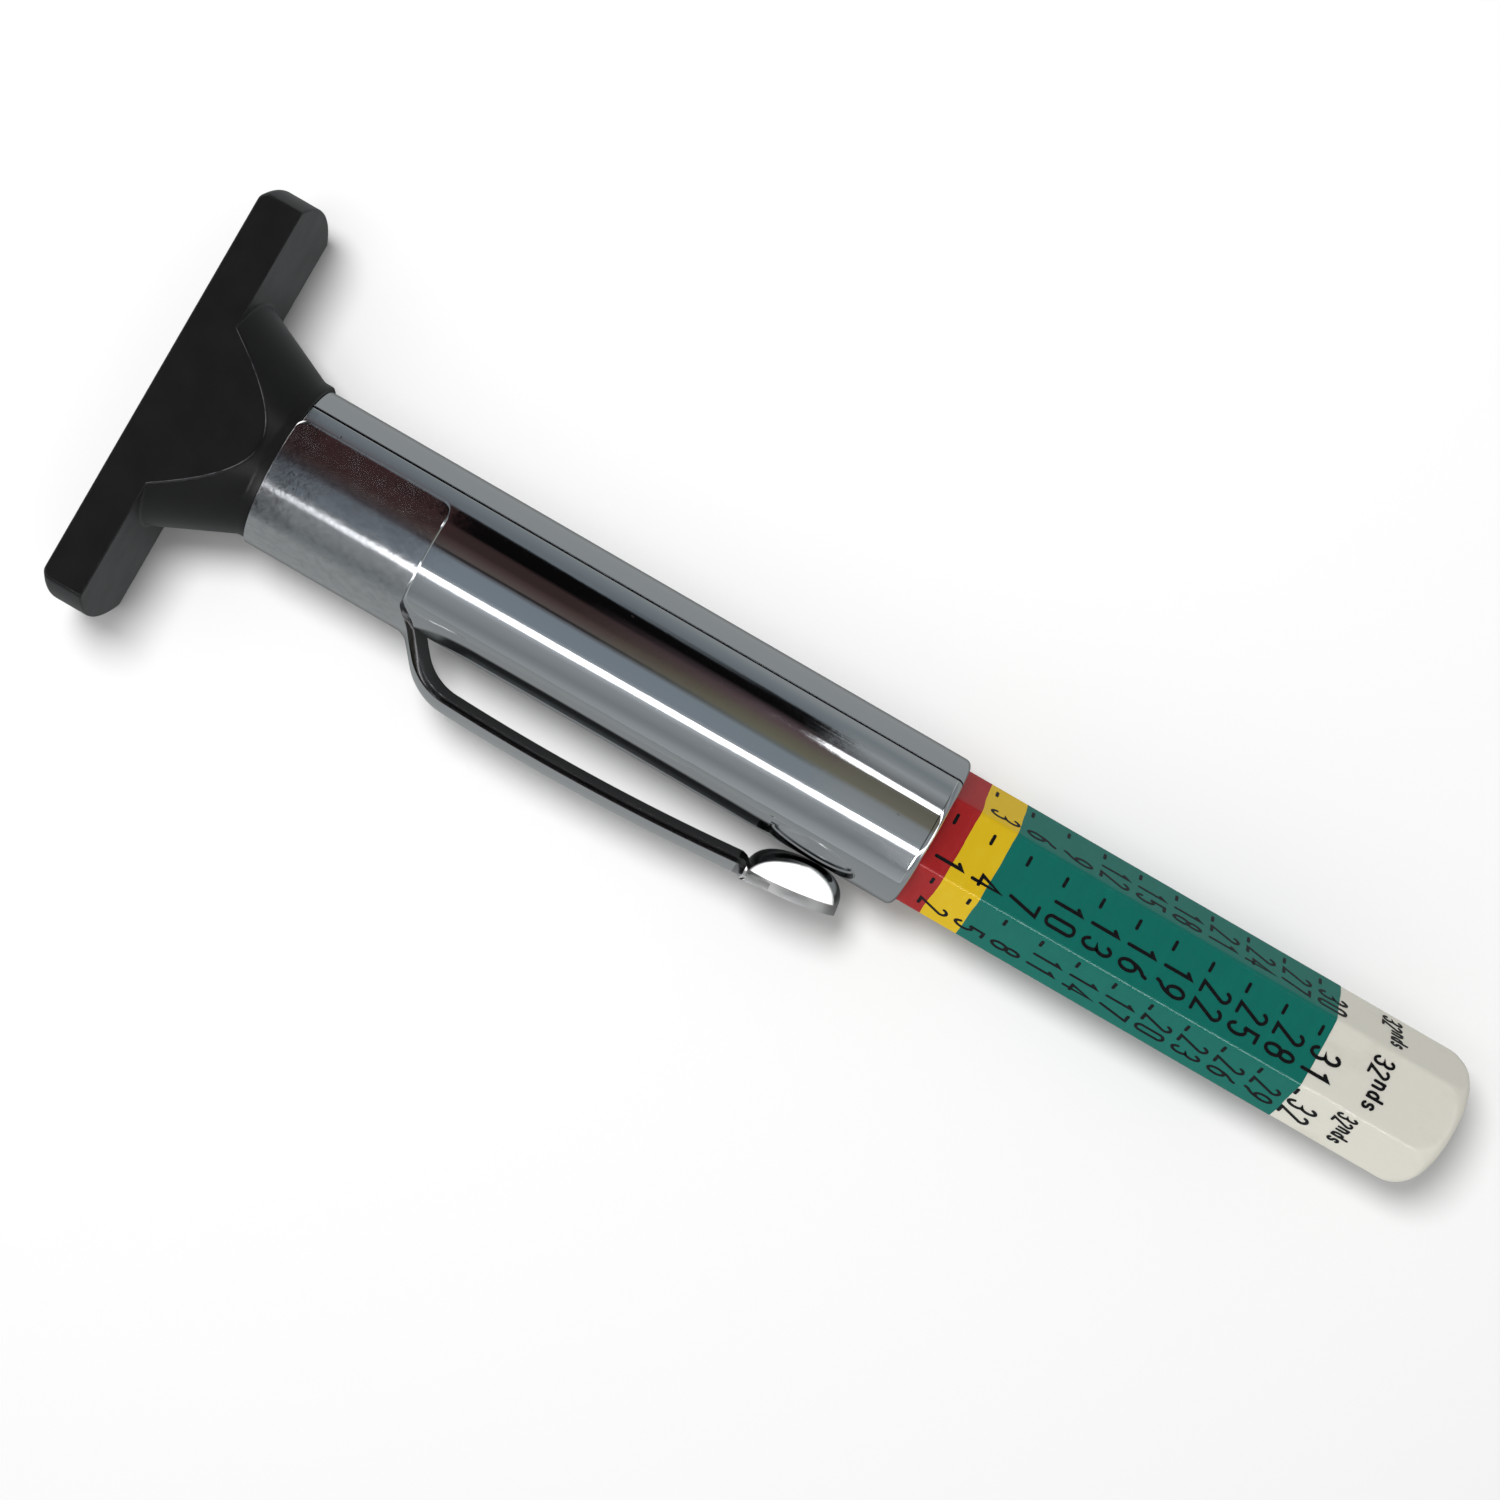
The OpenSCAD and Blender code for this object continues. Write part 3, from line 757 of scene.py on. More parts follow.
def arm_rows(path, spread, rim_angles):
    """The arm: it narrows from a flared root, and its last rows bow round the cup's rim."""
    flare_h = ARM_ROOT_HALF_W - ARM_HALF_W
    flare_end = BAND_END + math.sqrt(FLARE_R ** 2 - (FLARE_R - flare_h) ** 2)
    path_x, path_r = np.array(path).T
    rows = []
    for x, r in path[1:]:
        if x > CUP_X:
            break
        half = ARM_HALF_W
        if x < flare_end:
            half += FLARE_R - math.sqrt(FLARE_R ** 2 - (flare_end - x) ** 2)
        t = max(0.0, (x - BOW_START) / (CUP_X - BOW_START))
        row = []
        for s, rim_angle in zip(spread, np.radians(rim_angles)):
            z = -half * s
            curve = sag(z)
            if t == 0.0:
                row.append((x, -(r - curve * roundness(x)), z))
                continue
            # each point slides back along the path until the last row lies on the rim
            x_new = BOW_START + t * (CUP_X - CUP_RIM_R * math.cos(rim_angle) - BOW_START)
            plane_r = path_r[-1] - (x_new - CUP_X) * math.tan(CUP_LEAN)
            r_new = np.interp(x_new, path_x, path_r) * (1 - t ** 6) + plane_r * t ** 6
            if t > 0.8:
                z = z * (1 - t) - CUP_RIM_R * math.sin(rim_angle) * t
            row.append((x_new, -(r_new - curve * roundness(x_new)), z))
        rows.append(row)
    return rows


def cup_rings(longitudes, outer_r):
    """Rings over both sides of the cup, in a frame that leans with its rim. The first group is the dome."""
    along = np.array((math.cos(CUP_LEAN), math.sin(CUP_LEAN), 0.0))
    inward = np.array((-math.sin(CUP_LEAN), math.cos(CUP_LEAN), 0.0))
    centre = np.array((CUP_X, -outer_r, 0.0))
    depth = outer_r / math.cos(CUP_LEAN) - CLIP_T - (SLEEVE_R + CUP_GAP) * 1.003 - CUP_RELIEF
    dish_r = CUP_RIM_R - 0.8 * CLIP_T
    fullness = 2.5

    def ring(radius, height):
        """A ring round the cup's axis, at a height above the rim's outer plane (towards the sleeve)."""
        radials = [np.array((0, 0, 1.0)) * math.sin(a) - along * math.cos(a) for a in np.radians(longitudes)]
        return [tuple(centre + radial * radius + inward * height) for radial in radials]

    def pressed(rim_r, base):
        """Rings over a full, pressed dome (a superellipse), from its rim to its middle."""
        angles = np.linspace(math.pi / 2, 0, 19)[1:]
        return [ring(rim_r, base)] + [
            ring(rim_r * math.sin(a) ** (2 / fullness), base + depth * math.cos(a) ** (2 / fullness))
            for a in angles]

    return pressed(CUP_RIM_R, CLIP_T), [ring(CUP_RIM_R, 0.0)] + pressed(dish_r, 0.0)


def clip():
    """One strip of spring steel: a C-shaped band, a bowed arm and a dished, round tip."""
    rim_step = 6.0
    reach = round(math.degrees(math.asin(ARM_HALF_W / CUP_RIM_R)) / rim_step)
    rim_angles = np.arange(-reach, reach + 1) * rim_step
    spread = np.sin(np.radians(rim_angles)) / math.sin(math.radians(reach * rim_step))
    columns = len(spread)
    path = arm_side_view()
    band = band_rows(spread)
    arm = arm_rows(path, spread, rim_angles)

    outer = [p for row in band + arm for p in row]
    band_cols = len(band[0])
    faces = grid_faces(len(band), band_cols)
    root = (len(band) - 1) * band_cols + BAND_SIDE_STEPS
    starts = [root] + [len(band) * band_cols + r * columns for r in range(len(arm))]
    for a, b in zip(starts, starts[1:]):
        faces += [(a + c, a + c + 1, b + c + 1, b + c) for c in range(columns - 1)]
    last_row = range(starts[-1], starts[-1] + columns)

    # inner face: each point moved in by the strip's thickness along the outer face's normal
    sheet = bpy.data.meshes.new("sheet")
    sheet.from_pydata(outer, [], faces)
    normals = np.array([v.normal for v in sheet.vertices])
    bpy.data.meshes.remove(sheet)
    outer = np.array(outer)
    normals *= np.sign((normals * (outer * (0, 1, 1))).sum(1))[:, None]
    normals[list(last_row)] = (math.sin(CUP_LEAN), -math.cos(CUP_LEAN), 0.0)
    count = len(outer)
    points = [tuple(p) for p in outer] + [tuple(p) for p in outer - normals * CLIP_T]
    shell = faces + [tuple(count + i for i in reversed(f)) for f in faces]

    # the cup's two sides, and its wall except where the arm joins it
    longitudes = np.arange(0, 360, rim_step)
    around = len(longitudes)
    dome, dish = cup_rings(longitudes, path[-1][1])
    top = len(points)
    low = top + len(dome) * around
    points += [p for ring in dome + dish for p in ring]
    shell += grid_faces(len(dome), around, closed=True, start=top)
    shell += [tuple(reversed(f)) for f in grid_faces(len(dish), around, closed=True, start=low)]
    for i in range(around):
        j = (i + 1) % around
        if max(min(k, around - k) for k in (i, j)) > reach:
            shell.append((top + i, low + i, low + j, top + j))

    # the strip's edges: join the outer face's open edges to the inner face's
    uses = {}
    for f in faces:
        for a, b in zip(f, f[1:] + f[:1]):
            uses[tuple(sorted((a, b)))] = uses.get(tuple(sorted((a, b))), 0) + 1
    for (a, b), times in uses.items():
        if times == 1 and not (a in last_row and b in last_row):
            shell.append((a, b, b + count, a + count))

    mesh = new_mesh("pocket_clip_strip", points, shell)
    mesh.transform(Matrix.Rotation(math.radians(CLIP_ROLL), 4, "X"))
    bm = bmesh.new()
    bm.from_mesh(mesh)
    bmesh.ops.remove_doubles(bm, verts=bm.verts, dist=0.004 * MM)
    bmesh.ops.recalc_face_normals(bm, faces=bm.faces)
    crisp = [e for e in bm.edges if len(e.link_faces) == 2 and e.calc_face_angle() > math.radians(48)]
    bevel_edges(bm, crisp, 0.07, 2)
    bm.to_mesh(mesh)
    bm.free()
    piece = finish_piece("pocket_clip_strip", mesh, CLIP_CHROME, None, "chromed_clip",
                         replaces=("clip_band", "clip_arm"), sharp=50.0)
    rest_place = mesh.attributes.new("rest_place", "FLOAT_VECTOR", "POINT")
    rest_place.data.foreach_set("vector", [c for v in mesh.vertices for c in v.co])
    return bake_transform(piece)


# ---------------------------------------------------------------- scale bar


def corner_half_angle(apothem):
    """Half the angle that a round corner of the bar takes up, seen from the axis."""
    centre = (apothem - BAR_CORNER_R) / math.cos(math.radians(30))
    return math.degrees(math.atan2(BAR_CORNER_R * 0.5, centre + BAR_CORNER_R * math.cos(math.radians(30))))


def hexagon_radius(angle, apothem):
    """Distance from the axis to a round-cornered hexagon, at an angle from the middle of a face."""
    off_face = abs((angle + 30) % 60 - 30)
    to_corner = math.radians(30 - off_face)
    if math.degrees(to_corner) > corner_half_angle(apothem):
        return apothem / math.cos(math.radians(off_face))
    centre = (apothem - BAR_CORNER_R) / math.cos(math.radians(30))
    return centre * math.cos(to_corner) + math.sqrt(BAR_CORNER_R ** 2 - (centre * math.sin(to_corner)) ** 2)


def bar_columns(apothem=BAR_APOTHEM):
    """Angles round the bar: even steps on each face and fine ones round each corner."""
    corner = corner_half_angle(apothem)
    one = list(np.linspace(-30 + corner, 30 - corner, 11)) + list(30 + np.linspace(-corner, corner, 9)[1:-1])
    return [60 * k + a for k in range(6) for a in one]


def bar_ring(x, apothem, limit=UNTURNED, shift=None):
    """One section of the bar. limit is the radius that turning has left; shift moves points along X."""
    ring = []
    for angle in bar_columns():
        r = min(hexagon_radius(angle, apothem), limit)
        y, z = unit_circle(angle - BAR_ROLL)
        ring.append((x + (shift(angle) if shift else 0.0), r * y, r * z))
    return ring


def join_rings(rings):
    """Points and faces of a skin over rings of equal length."""
    return [p for ring in rings for p in ring], grid_faces(len(rings), len(rings[0]), closed=True)


def scale_bar():
    """Hexagonal bar with two ring grooves, a seat for the probe and a turned, slightly domed end."""
    stations = [(BAR_START, SEAT_R), (BAR_START, 3.6), (BAR_START + 0.25, UNTURNED)]
    for x0, x1, floor_r in ((FRICTION_X0 - 0.1, FRICTION_X1 + 0.1, 3.4),
                            (STOP_X0 - 0.05, STOP_X1 + 0.05, 3.5)):
        stations += [(x0 - 0.05, UNTURNED), (x0, 3.9), (x0, floor_r + 0.08), (x0 + 0.08, floor_r),
                     (x1 - 0.08, floor_r), (x1, floor_r + 0.08), (x1, 3.9), (x1 + 0.05, UNTURNED)]
    dome = 0.1
    corner_at = hexagon_radius(30, BAR_APOTHEM)
    end_centre = (BAR_END - dome - BAR_END_R, corner_at - BAR_END_R)
    stations += [(x, UNTURNED) for x in np.linspace(STOP_X1 + 1.0, end_centre[0] - 0.2, 20)]
    turned = arc_points(end_centre, BAR_END_R, 0, 90, 14)
    stations += turned
    flat_r = turned[-1][1]
    for share in (0.85, 0.65, 0.4, 0.15):
        stations.append((BAR_END - dome * share ** 2, flat_r * share))
    points, faces = join_rings([bar_ring(x, BAR_APOTHEM, limit) for x, limit in stations])
    count = len(bar_columns())
    tip = len(points)
    points.append((BAR_END, 0, 0))
    last = tip - count
    faces += [(last + i, last + (i + 1) % count, tip) for i in range(count)]
    # the probe's blind seat
    seat = len(points)
    seat_x = PROBE_END + 0.2
    points += bar_ring(seat_x, BAR_APOTHEM, SEAT_R) + [(seat_x, 0, 0)]
    faces += [(i, (i + 1) % count, seat + (i + 1) % count, seat + i) for i in range(count)]
    faces += [(seat + i, seat + (i + 1) % count, seat + count) for i in range(count)]
    return make_piece("hexagonal_scale_bar", points, faces, WHITE_PLASTIC, "bar", "white_plastic",
                      replaces=("scale_bar",), sharp=40.0)


def print_wobble(boundary):
    """How far a printed edge strays along X, at each angle round the bar."""
    def shift(angle):
        a = math.radians(angle)
        where = Vector((math.cos(a) * 2.2, math.sin(a) * 2.2, boundary * 0.7))
        return 0.07 * noise.noise(where) + 0.02 * noise.noise(where * 4.0)
    return shift


def ink_zone(name, x0, x1, material, slot, node, straight_start=False):
    """A printed coat round the bar: a thin shell that is closed by its own edges."""
    start = print_wobble(x0)
    end = print_wobble(x1)

    def row(t, apothem):
        def shift(angle):
            return (0.0 if straight_start else (1 - t) * start(angle)) + t * end(angle)
        return bar_ring(x0 + (x1 - x0) * t, apothem, shift=shift)

    shares = np.linspace(0, 1, 9)
    outside = [row(t, BAR_APOTHEM + INK_T) for t in shares]
    inside = [row(t, BAR_APOTHEM - 0.03) for t in shares[::-1]]
    points, faces = join_rings(outside + inside + outside[:1])
    return make_piece(name, points, faces, material, "bar", slot, replaces=(node,), sharp=40.0)


# ---------------------------------------------------------------- printed numerals and ticks

DIGIT_W = 0.57
DIGIT_H = 1.745
STROKE = 0.205
ADVANCE = 1.13
TENS_U = 0.04
UNIT_X = 78.82
PRINT_Z = BAR_APOTHEM + INK_T
PRINT_T = 0.012


def bow(cx, cy, rx, ry, start, end, steps=12):
    """Points on part of an ellipse, in degrees from the right, counterclockwise when end > start."""
    angles = np.radians(np.linspace(start, end, steps + 1))
    return [(cx + rx * math.cos(a), cy + ry * math.sin(a)) for a in angles]


def glyph(character):
    """Strokes of a plain, narrow engineering numeral or letter. Each is (points, closed)."""
    w, h = DIGIT_W, DIGIT_H
    r = w / 2
    low = h * 0.29
    high = h - h * 0.25
    strokes = {
        "0": [(bow(r, h - r, r, r, 0, 180) + bow(r, r, r, r, 180, 360), True)],
        "1": [([(w * 0.22, h * 0.79), (w * 0.60, h * 0.93), (w * 0.60, 0)], False)],
        "2": [(bow(r, h - r * 1.1, r, r * 1.1, 165, -35) + [(0, 0), (w, 0)], False)],
        "3": [(bow(r, high, r * 0.9, h - high, 155, -90)
               + bow(r, low * 0.93, r, low * 0.93, 90, -155)[1:], False)],
        "4": [([(w * 0.74, 0), (w * 0.74, h), (0, h * 0.27), (w, h * 0.27)], False)],
        "5": [([(w * 0.93, h), (w * 0.12, h), (w * 0.07, h * 0.54)]
               + bow(r, low, r, low * 1.05, 128, -150), False)],
        "6": [([(w * 0.80, h)] + bow(w * 1.3, h * 0.30, w * 1.27, h * 0.66, 118, 170, 8), False),
              (bow(r, low, r, low, 150, -210, 22), True)],
        "7": [([(0, h), (w, h), (w * 0.36, 0)], False)],
        "8": [(bow(r, high, r * 0.86, h - high, -90, 270, 20), True),
              (bow(r, low * 0.96, r, low * 0.96, 90, 450, 22), True)],
        "n": [([(0, 0), (0, h * 0.66)], False),
              ([(0, h * 0.42)] + bow(r, h * 0.43, r, h * 0.22, 180, 0, 10) + [(w, 0)], False)],
        "d": [([(w, 0), (w, h)], False), (bow(r, h * 0.32, r, h * 0.32, 90, 450, 18), True)],
        "s": [(bow(r, h * 0.49, r * 0.85, h * 0.165, 30, 250, 10)
               + bow(r, h * 0.165, r * 0.9, h * 0.165, 70, -150, 10), False)],
    }
    if character == "9":
        return [([(w - x, h - y) for x, y in pts], closed) for pts, closed in glyph("6")]
    return strokes[character]


def unit_rows(vectors):
    """Each row scaled to a length of one."""
    return vectors / np.maximum(np.linalg.norm(vectors, axis=1), 1e-9)[:, None]


def stroke_solid(line, closed, width, place, lift, points, faces):
    """Adds a flat printed stroke of even width with round ends. place() maps (u, v, n) to the bar."""
    line = np.array(line, float)
    if closed and np.linalg.norm(line[0] - line[-1]) < 1e-6:
        line = line[:-1]
    before = np.roll(line, 1, 0) if closed else np.vstack([2 * line[0] - line[1], line[:-1]])
    after = np.roll(line, -1, 0) if closed else np.vstack([line[1:], 2 * line[-1] - line[-2]])
    out = unit_rows(after - line)
    tangent = unit_rows(unit_rows(line - before) + out)
    side = np.stack([-tangent[:, 1], tangent[:, 0]], 1)
    spread = np.maximum(0.35, (tangent * out).sum(1))
    half = width / 2 / spread
    pairs = list(zip(line + side * half[:, None], line - side * half[:, None]))
    if not closed:
        for end, direction in ((0, -1), (-1, 1)):
            cap = []
            for t in np.radians((75, 50, 25)):
                base = line[end] + tangent[end] * direction * width / 2 * math.sin(t)
                offset = side[end] * width / 2 * math.cos(t)
                cap.append((base + offset, base - offset))
            pairs = cap + pairs if direction < 0 else pairs + cap[::-1]
    start = len(points)
    for level in (lift + PRINT_T, -0.02):
        points += [place(*p, level) for pair in pairs for p in pair]
    m = len(pairs)
    for i in range(m if closed else m - 1):
        j = (i + 1) % m
        a, b, c, d = start + 2 * i, start + 2 * i + 1, start + 2 * j + 1, start + 2 * j
        faces.append((a, b, c, d))
        faces.append((a + 2 * m, d + 2 * m, c + 2 * m, b + 2 * m))
        faces.append((a, d, d + 2 * m, a + 2 * m))
        faces.append((b, b + 2 * m, c + 2 * m, c))
    if not closed:
        faces.append((start, start + 2 * m, start + 2 * m + 1, start + 1))
        end = start + 2 * (m - 1)
        faces.append((end, end + 1, end + 1 + 2 * m, end + 2 * m))


# the print sits a little off its true place, by a different amount on each face: along X, then across
PRINT_SLIP = [(-0.26, 0.0), (-0.46, -0.31), (-0.34, -0.1), (-0.3, 0.06), (-0.28, -0.08), (-0.3, 0.0)]


def on_face(face, x):
    """Maps a printed point to the bar: u reads across the face, v points along +X, n is out."""
    turn = Matrix.Rotation(math.radians(60 * face - BAR_ROLL), 3, "X")
    slip_x, slip_u = PRINT_SLIP[face]

    def place(u, v, n):
        return tuple(turn @ Vector((x + slip_x + v, -u - slip_u, PRINT_Z + n)))
    return place


def lettering(words, face, x, u, advance, points, faces, scale=1.0, raised=0.0):
    """Characters whose middles start at u. Letters are smaller than figures, and may be raised."""
    place = on_face(face, x)
    for k, character in enumerate(words):
        size = scale * 0.82 if character.isalpha() else scale
        lift = raised if character.isalpha() else 0.0
        left = u + k * advance - size * DIGIT_W / 2
        for level, (line, closed) in enumerate(glyph(character)):
            moved = [(left + a * size, lift + b * size) for a, b in line]
            stroke_solid(moved, closed, STROKE * min(1.0, scale + 0.12), place, 0.001 * level, points, faces)


def marks():
    """Every mark of the scale as (face, number)."""
    return [(face, number) for face in range(6) for number in range(1 + face % 3, MARKS + 1, 3)]


def numerals():
    """Each face carries every third number; a single digit stands where a units digit would."""
    points, faces = [], []
    for face, number in marks():
        words = str(number)
        x = SLEEVE_END + number * GRADUATION + 0.05
        lettering(words, face, x, TENS_U if len(words) == 2 else TENS_U + ADVANCE, ADVANCE, points, faces)
    for face in range(6):
        lettering("32nds", face, UNIT_X, -1.33, 0.646, points, faces, scale=0.68, raised=0.62)
    return make_piece("printed_numerals", points, faces, BLACK_INK, "bar", "black_ink", sharp=60,
                      weighted=False)


def ticks():
    """A short bar beside each numeral, slightly ragged like the rest of the print."""
    points, faces = [], []
    for face, number in marks():
        ragged = 0.02 * noise.noise(Vector((number * 1.7, face * 2.3, 0.5)))
        line = [(-1.36 + ragged, 0.0), (-1.12, ragged * 0.3), (-0.88 + ragged, 0.0)]
        stroke_solid(line, False, 0.2, on_face(face, SLEEVE_END + number * GRADUATION), 0.0, points, faces)
    return make_piece("printed_ticks", points, faces, BLACK_INK, "bar", "black_ink",
                      replaces=("tick_marks",), sharp=60, weighted=False)


# ---------------------------------------------------------------- probe


def probe():
    """Steel pin with a rounded tip and a shallow turned ring behind it."""
    r = PROBE_R
    tip = 0.3
    profile = [(PROBE_TIP, 0.0), (PROBE_TIP, 0.35), (PROBE_TIP + 0.01, 0.6)]
    profile += arc_points((PROBE_TIP + tip, r - tip), tip, -75, 0, 6)
    profile += [(PROBE_TIP + 3.0, r), (PROBE_TIP + 12.0, r), (PROBE_TIP + 30.0, r), (PROBE_END - 0.2, r),
                (PROBE_END, r - 0.2), (PROBE_END, 0.0)]
    angles = np.linspace(0, 360, 49)[:-1]
    points = []
    for angle in angles:
        y, z = unit_circle(angle)
        points += [(x, r * y, r * z) for x, r in profile]
    count = len(profile)
    starts = [k * count for k in range(len(angles))]
    faces = [(a + i, a + i + 1, b + i + 1, b + i) for a, b in zip(starts, starts[1:] + starts[:1])
             for i in range(count - 1)]
    return make_piece("probe_wire", points, faces, PROBE_STEEL, "bar", "probe_steel",
                      replaces=("probe_pin",))


# ---------------------------------------------------------------- build

tee_head()
sleeve()
pocket_clip = clip()
scale_bar()
ink_zone("red_zone", RED_START, RED_END, RED_INK, "red_ink", "red_band", straight_start=True)
ink_zone("yellow_zone", RED_END, YELLOW_END, YELLOW_INK, "yellow_ink", "yellow_band")
ink_zone("green_zone", YELLOW_END, GREEN_END, GREEN_INK, "green_ink", "green_band")
numerals()
ticks()
probe()

for node, material in (("stop_ring", RING_STEEL), ("friction_ring", RING_RUBBER)):
    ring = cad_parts[node]
    ring.data.materials.clear()
    ring.data.materials.append(material)

# ---------------------------------------------------------------- floor, light and camera


def floor():
    """Pale sweep. Shiny pieces see it a good deal darker and more even than the camera does."""
    mesh = bpy.data.meshes.new("floor")
    far = 1.5
    z = -FLAT_Z * MM - 2e-6
    mesh.from_pydata([(-far, -far, z), (far, -far, z), (far, far, z), (-far, far, z)], [], [(0, 1, 2, 3)])
    g = new_material("pale_sweep", (0.9, 0.9, 0.9))
    mirrored = g.seen_mirrored()
    _, y, _ = g.place()
    # painted light: to shiny pieces the floor glows an even grey in place of its light, and the glow fades
    # to a painted shadow under the gauge
    under = g.fit(abs(y), low=4.5 * MM, high=9.0 * MM, start=0.1, end=1.0)
    bounce = g.mix(mirrored, (0.44, 0.44, 0.43), (0.04, 0.04, 0.04))
    plain = g.add("BsdfDiffuse", Color=g.mix(g.seen_directly(), bounce, (0.47, 0.47, 0.47)))
    even = g.add("Emission", Color=(0.24, 0.255, 0.26, 1.0), Strength=mirrored * under)
    g.add("OutputMaterial", Surface=g.add("AddShader", i0=plain, i1=even))
    mesh.materials.append(g.owner)
    sheet = bpy.data.objects.new("floor", mesh)
    bpy.context.scene.collection.objects.link(sheet)
    return sheet


def tone(colour):
    """The radiance that bright plating shows as this 8-bit display colour, or grey."""
    reflectance = 0.68
    shown = (colour,) * 3 if isinstance(colour, int) else colour
    return tuple(((c / 255 + 0.055) / 1.055) ** 2.4 / reflectance for c in shown)


GREY_SIDE = [(-150, (130, 132, 132)), (-91, (130, 133, 134)), (-77, (110, 116, 120)), (-64, (97, 103, 108))]
HIGHLIGHT = (420, 420, 425)
BAND_GLEAM = (238, 241, 246)
COOL_SIDE = [(46, (130, 133, 136)), (64, (112, 116, 119)), (70, (117, 121, 124)), (78, (131, 135, 137)),
             (98, (150, 154, 156)), (150, (150, 154, 156))]

# what shiny pieces see round the gauge's long axis, from its head to the bar's free end
OVER_HEAD = [(-150, (110, 112, 112)), (-85, (90, 92, 92)), (-60, 18), (60, 18),
             (85, (100, 102, 102)), (150, (120, 122, 122))]
OVER_BAND = GREY_SIDE + [
    (-57, (90, 90, 95)), (-54, (56, 38, 39)), (-20, (56, 38, 39)), (-14, (60, 47, 47)), (-3, (62, 58, 62)),
    (3, (88, 93, 100)), (25, (104, 110, 117)), (29, (125, 128, 132)), (31.5, BAND_GLEAM), (35, BAND_GLEAM),
    (38, (128, 130, 133))] + [(a, tuple(c - 8 for c in t)) for a, t in COOL_SIDE[:-2]] + [
    (98, (135, 138, 139)), (150, (135, 138, 139))]
OVER_TUBE_START = GREY_SIDE + [
    (-57.5, (97, 103, 108)), (-56, (8, 8, 9)), (-35.5, (8, 7, 8)), (-32, (50, 38, 38)), (-20, (50, 38, 38)),
    (-15, (66, 52, 51)), (-4.5, (80, 72, 70)), (-3, (30, 28, 28)), (-1.5, (44, 42, 44)), (0, (80, 80, 84)),
    (4, (110, 118, 126)), (25, (112, 120, 128)), (29.5, (140, 145, 150)), (31.5, HIGHLIGHT), (36, HIGHLIGHT),
    (39, (158, 162, 166))] + COOL_SIDE
OVER_TUBE_MIDDLE = GREY_SIDE + [
    (-62.5, (97, 103, 108)), (-61, (10, 10, 11)), (-44, (9, 8, 9)), (-39, (58, 48, 51)), (-28, (82, 68, 70)),
    (-15, (90, 86, 74)), (-6, (96, 94, 80)), (0, (92, 96, 96)), (4, (112, 120, 126)), (25, (114, 121, 128)),
    (29.5, (144, 148, 152)), (31.5, HIGHLIGHT), (36, HIGHLIGHT), (39, (164, 168, 170))] + COOL_SIDE
OVER_TUBE_END = GREY_SIDE[:3] + [
    (-66, (120, 124, 127)), (-58, (136, 140, 143)), (-50, (122, 124, 126)), (-42, (104, 106, 108)),
    (-38.5, (112, 114, 116)), (-37, HIGHLIGHT), (-32, HIGHLIGHT), (-30, (96, 94, 86)), (-23, (92, 90, 80)),
    (-6, (100, 97, 86)), (2, (120, 124, 126)), (17, (126, 130, 132)), (25, (126, 131, 134)),
    (29.5, (150, 154, 157)), (31, HIGHLIGHT), (37.5, HIGHLIGHT), (40, (150, 153, 155))] + COOL_SIDE
OVER_BAR = [(-150, (160, 162, 162)), (-85, (146, 148, 148)), (-72, 60), (-48, 60),
            (-44, 20), (46, 20), (50, 700), (66, 700),
            (70, 60), (82, (146, 148, 148)), (150, (165, 166, 166))]
PAST_HEAD = [(-150, (130, 132, 134)), (-80, (130, 132, 134)), (-62, 300), (-14, 300),
             (-8, (120, 120, 122)), (8, (120, 120, 122)), (14, 300), (38, 300),
             (50, (120, 122, 124)), (80, (140, 143, 145)), (150, (140, 143, 145))]

PAST_BAR = [(1.45 * a, colour) for a, colour in OVER_TUBE_END if -90 < a < 98]
RIM_GLEAM = [(-150, (110, 112, 114)), (-56, (90, 92, 94)), (-48, 300), (100, 300),
             (112, (130, 132, 134)), (150, (140, 143, 145))]


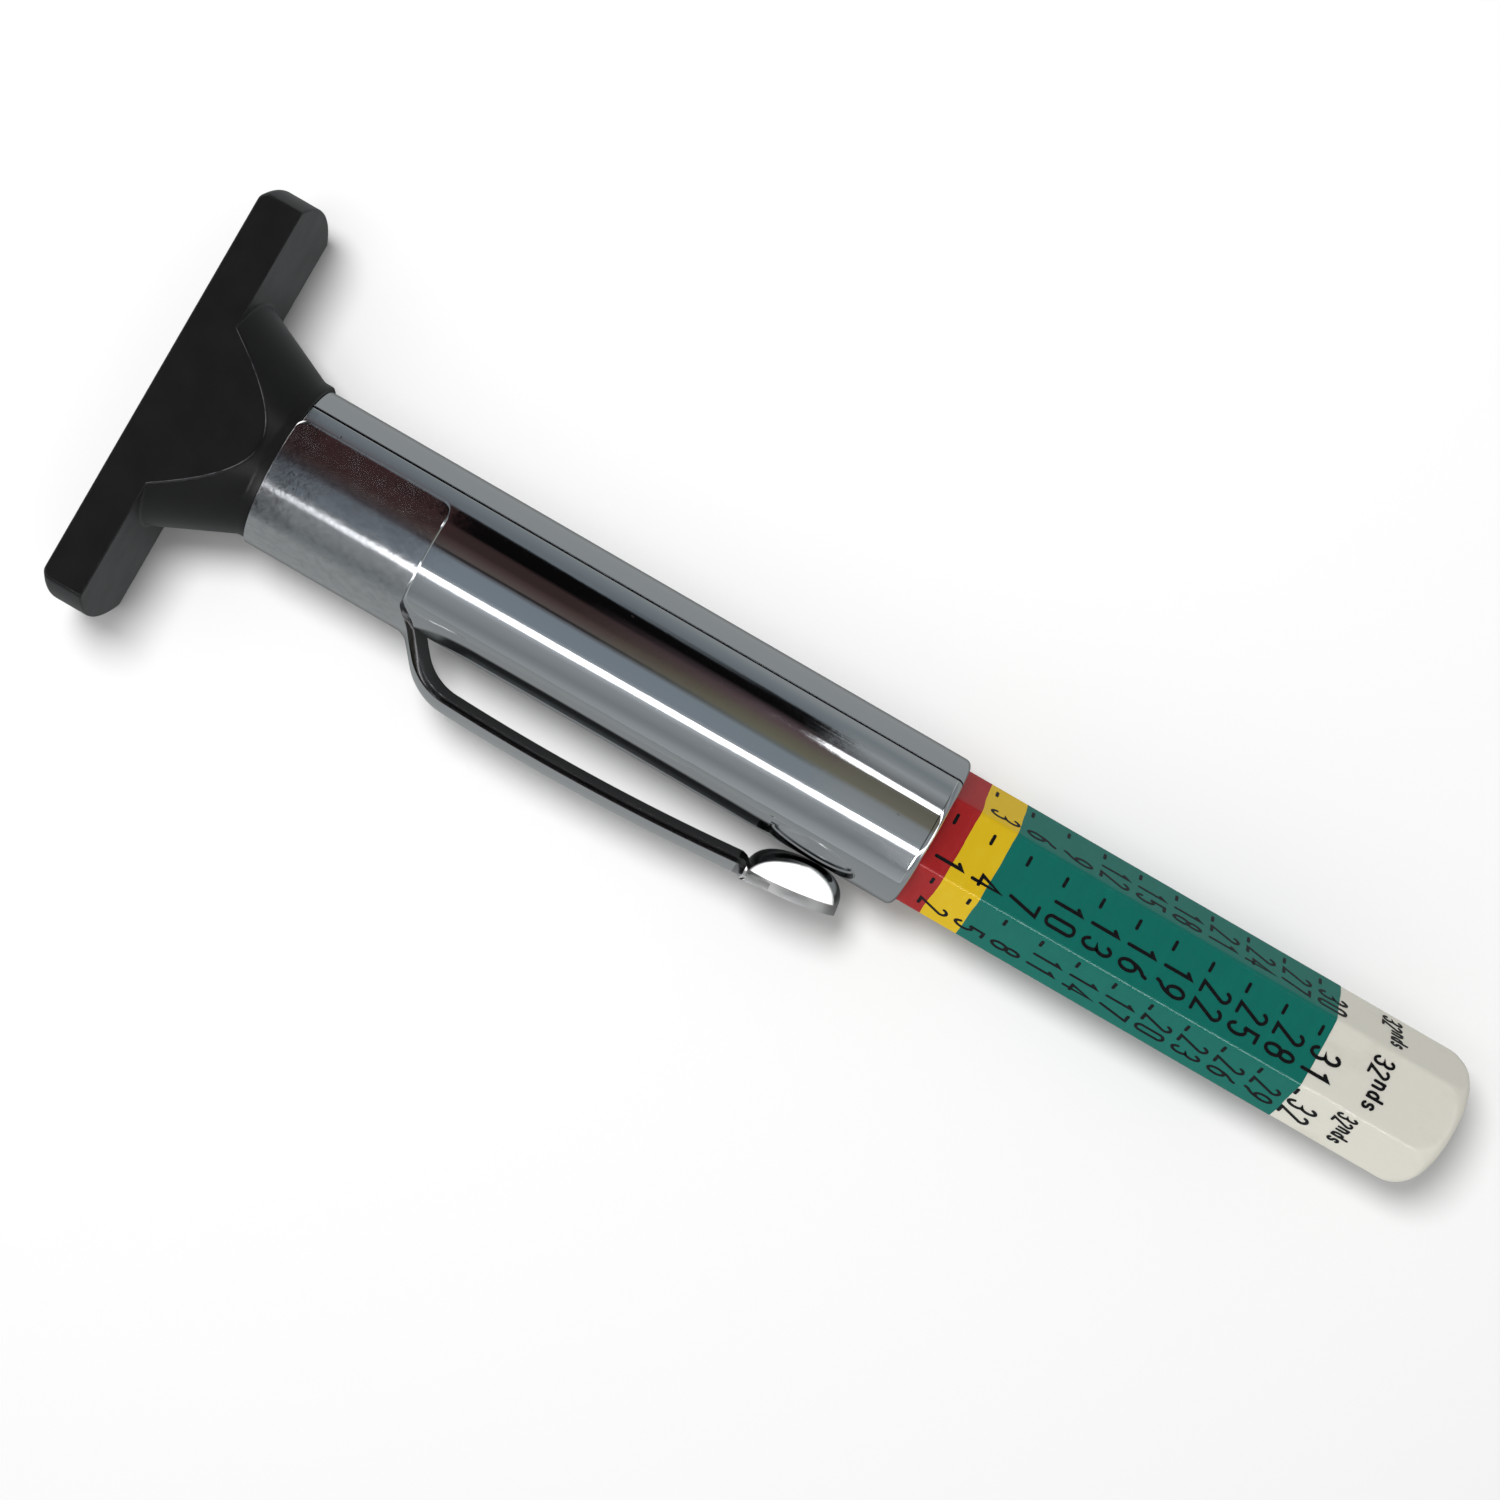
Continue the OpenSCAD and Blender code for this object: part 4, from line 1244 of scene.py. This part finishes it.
def surroundings():
    """The studio: plain white to the camera and soft light to matt surfaces.

    Shiny ones see a ceiling of soft boxes and dark panels, which changes along the gauge.
    """
    world = bpy.data.worlds.new("studio")
    world.use_nodes = True
    world.cycles.sampling_method = "NONE"
    bpy.context.scene.world = world
    g = Graph(world)
    x, y, z = g.xyz(g.add("TexCoord", output=0))
    # the angle of view round the gauge, in turns; the panels draw together towards the bar's end
    angle = g.math("ARCTAN2", y * -1.0, z) / g.fit(x, low=-0.3, high=0.3, start=1.345, end=0.655)
    turn = angle / (2 * math.pi) + 0.5

    def ceiling(panels):
        return g.ramp(turn, [((a + 180) / 360, tone(colour)) for a, colour in panels])

    comb = g.add("CombineXYZ", X=x * 3.0, Y=turn * 420.0)
    frayed = x + (g.add("TexNoise", Vector=comb, Scale=1.0, Detail=3.0, Roughness=0.5) - 0.5) * 0.05
    studio = ceiling(OVER_HEAD)
    for panels, start, end, place in (
            (OVER_BAND, -0.180, -0.176, x), (OVER_TUBE_START, -0.1225, -0.1195, x),
            (OVER_TUBE_MIDDLE, -0.07, 0.0, x), (OVER_TUBE_END, 0.02, 0.03, frayed),
            (OVER_BAR, 0.072, 0.078, x), (PAST_BAR, 0.22, 0.26, x), (RIM_GLEAM, 0.88, 0.92, x),
            (PAST_HEAD, -0.29, -0.33, x)):
        studio = g.mix(g.fit(place, low=start, high=end), studio, ceiling(panels))
    soft = g.fit(y, low=-1.0, high=1.0, start=1.06, end=0.46, clamp=False) \
        * g.fit(z, low=0.0, high=1.0, start=0.76, end=1.24, clamp=False)
    soft_light = g.add("CombineColor", Red=soft, Green=soft, Blue=soft)
    plain = g.mix(g.seen_directly(), soft_light, (1.0, 1.0, 1.0))
    background = g.add("Background", Color=g.mix(g.seen_mirrored(), plain, studio), Strength=1.0)
    g.add("OutputWorld", Surface=background)


def shadow_lights(sheet, strip):
    """Two soft lights on the sweep and the clip, where they brighten the white highlight painted on its cup.
    The shadow falls mostly down the picture.
    """
    lit = bpy.data.collections.new("lit_by_shadow_lights")
    lit.objects.link(sheet)
    lit.objects.link(strip)
    for name, y, energy in (("shadow_light", 0.055, 1.38), ("fill_light", -0.055, 0.14)):
        light = bpy.data.lights.new(name, "AREA")
        light.shape = "DISK"
        light.size = 0.11
        light.energy = energy
        lamp = bpy.data.objects.new(name, light)
        lamp.location = (-0.045, y, 0.30)
        aim = Vector(((FOOT_X + BAR_END) / 2 * MM, 0, 0)) - lamp.location
        lamp.rotation_euler = aim.to_track_quat("-Z", "Y").to_euler()
        lamp.visible_glossy = False
        bpy.context.scene.collection.objects.link(lamp)
        lamp.light_linking.receiver_collection = lit


def camera():
    """Straight above the gauge, turned so that the gauge runs from upper left to lower right."""
    lens = bpy.data.cameras.new("camera")
    lens.sensor_width = 36.0
    lens.lens = 73.7
    lens.clip_start = 0.01
    lens.clip_end = 5.0
    view = bpy.data.objects.new("camera", lens)
    view.location = (39.3 * MM, -1.04 * MM, 177.0 * MM)
    view.rotation_euler = (0, 0, math.radians(30.06))
    bpy.context.scene.collection.objects.link(view)
    bpy.context.scene.camera = view


sweep = floor()
surroundings()
shadow_lights(sweep, pocket_clip)
camera()
bpy.context.scene.view_settings.view_transform = "Standard"
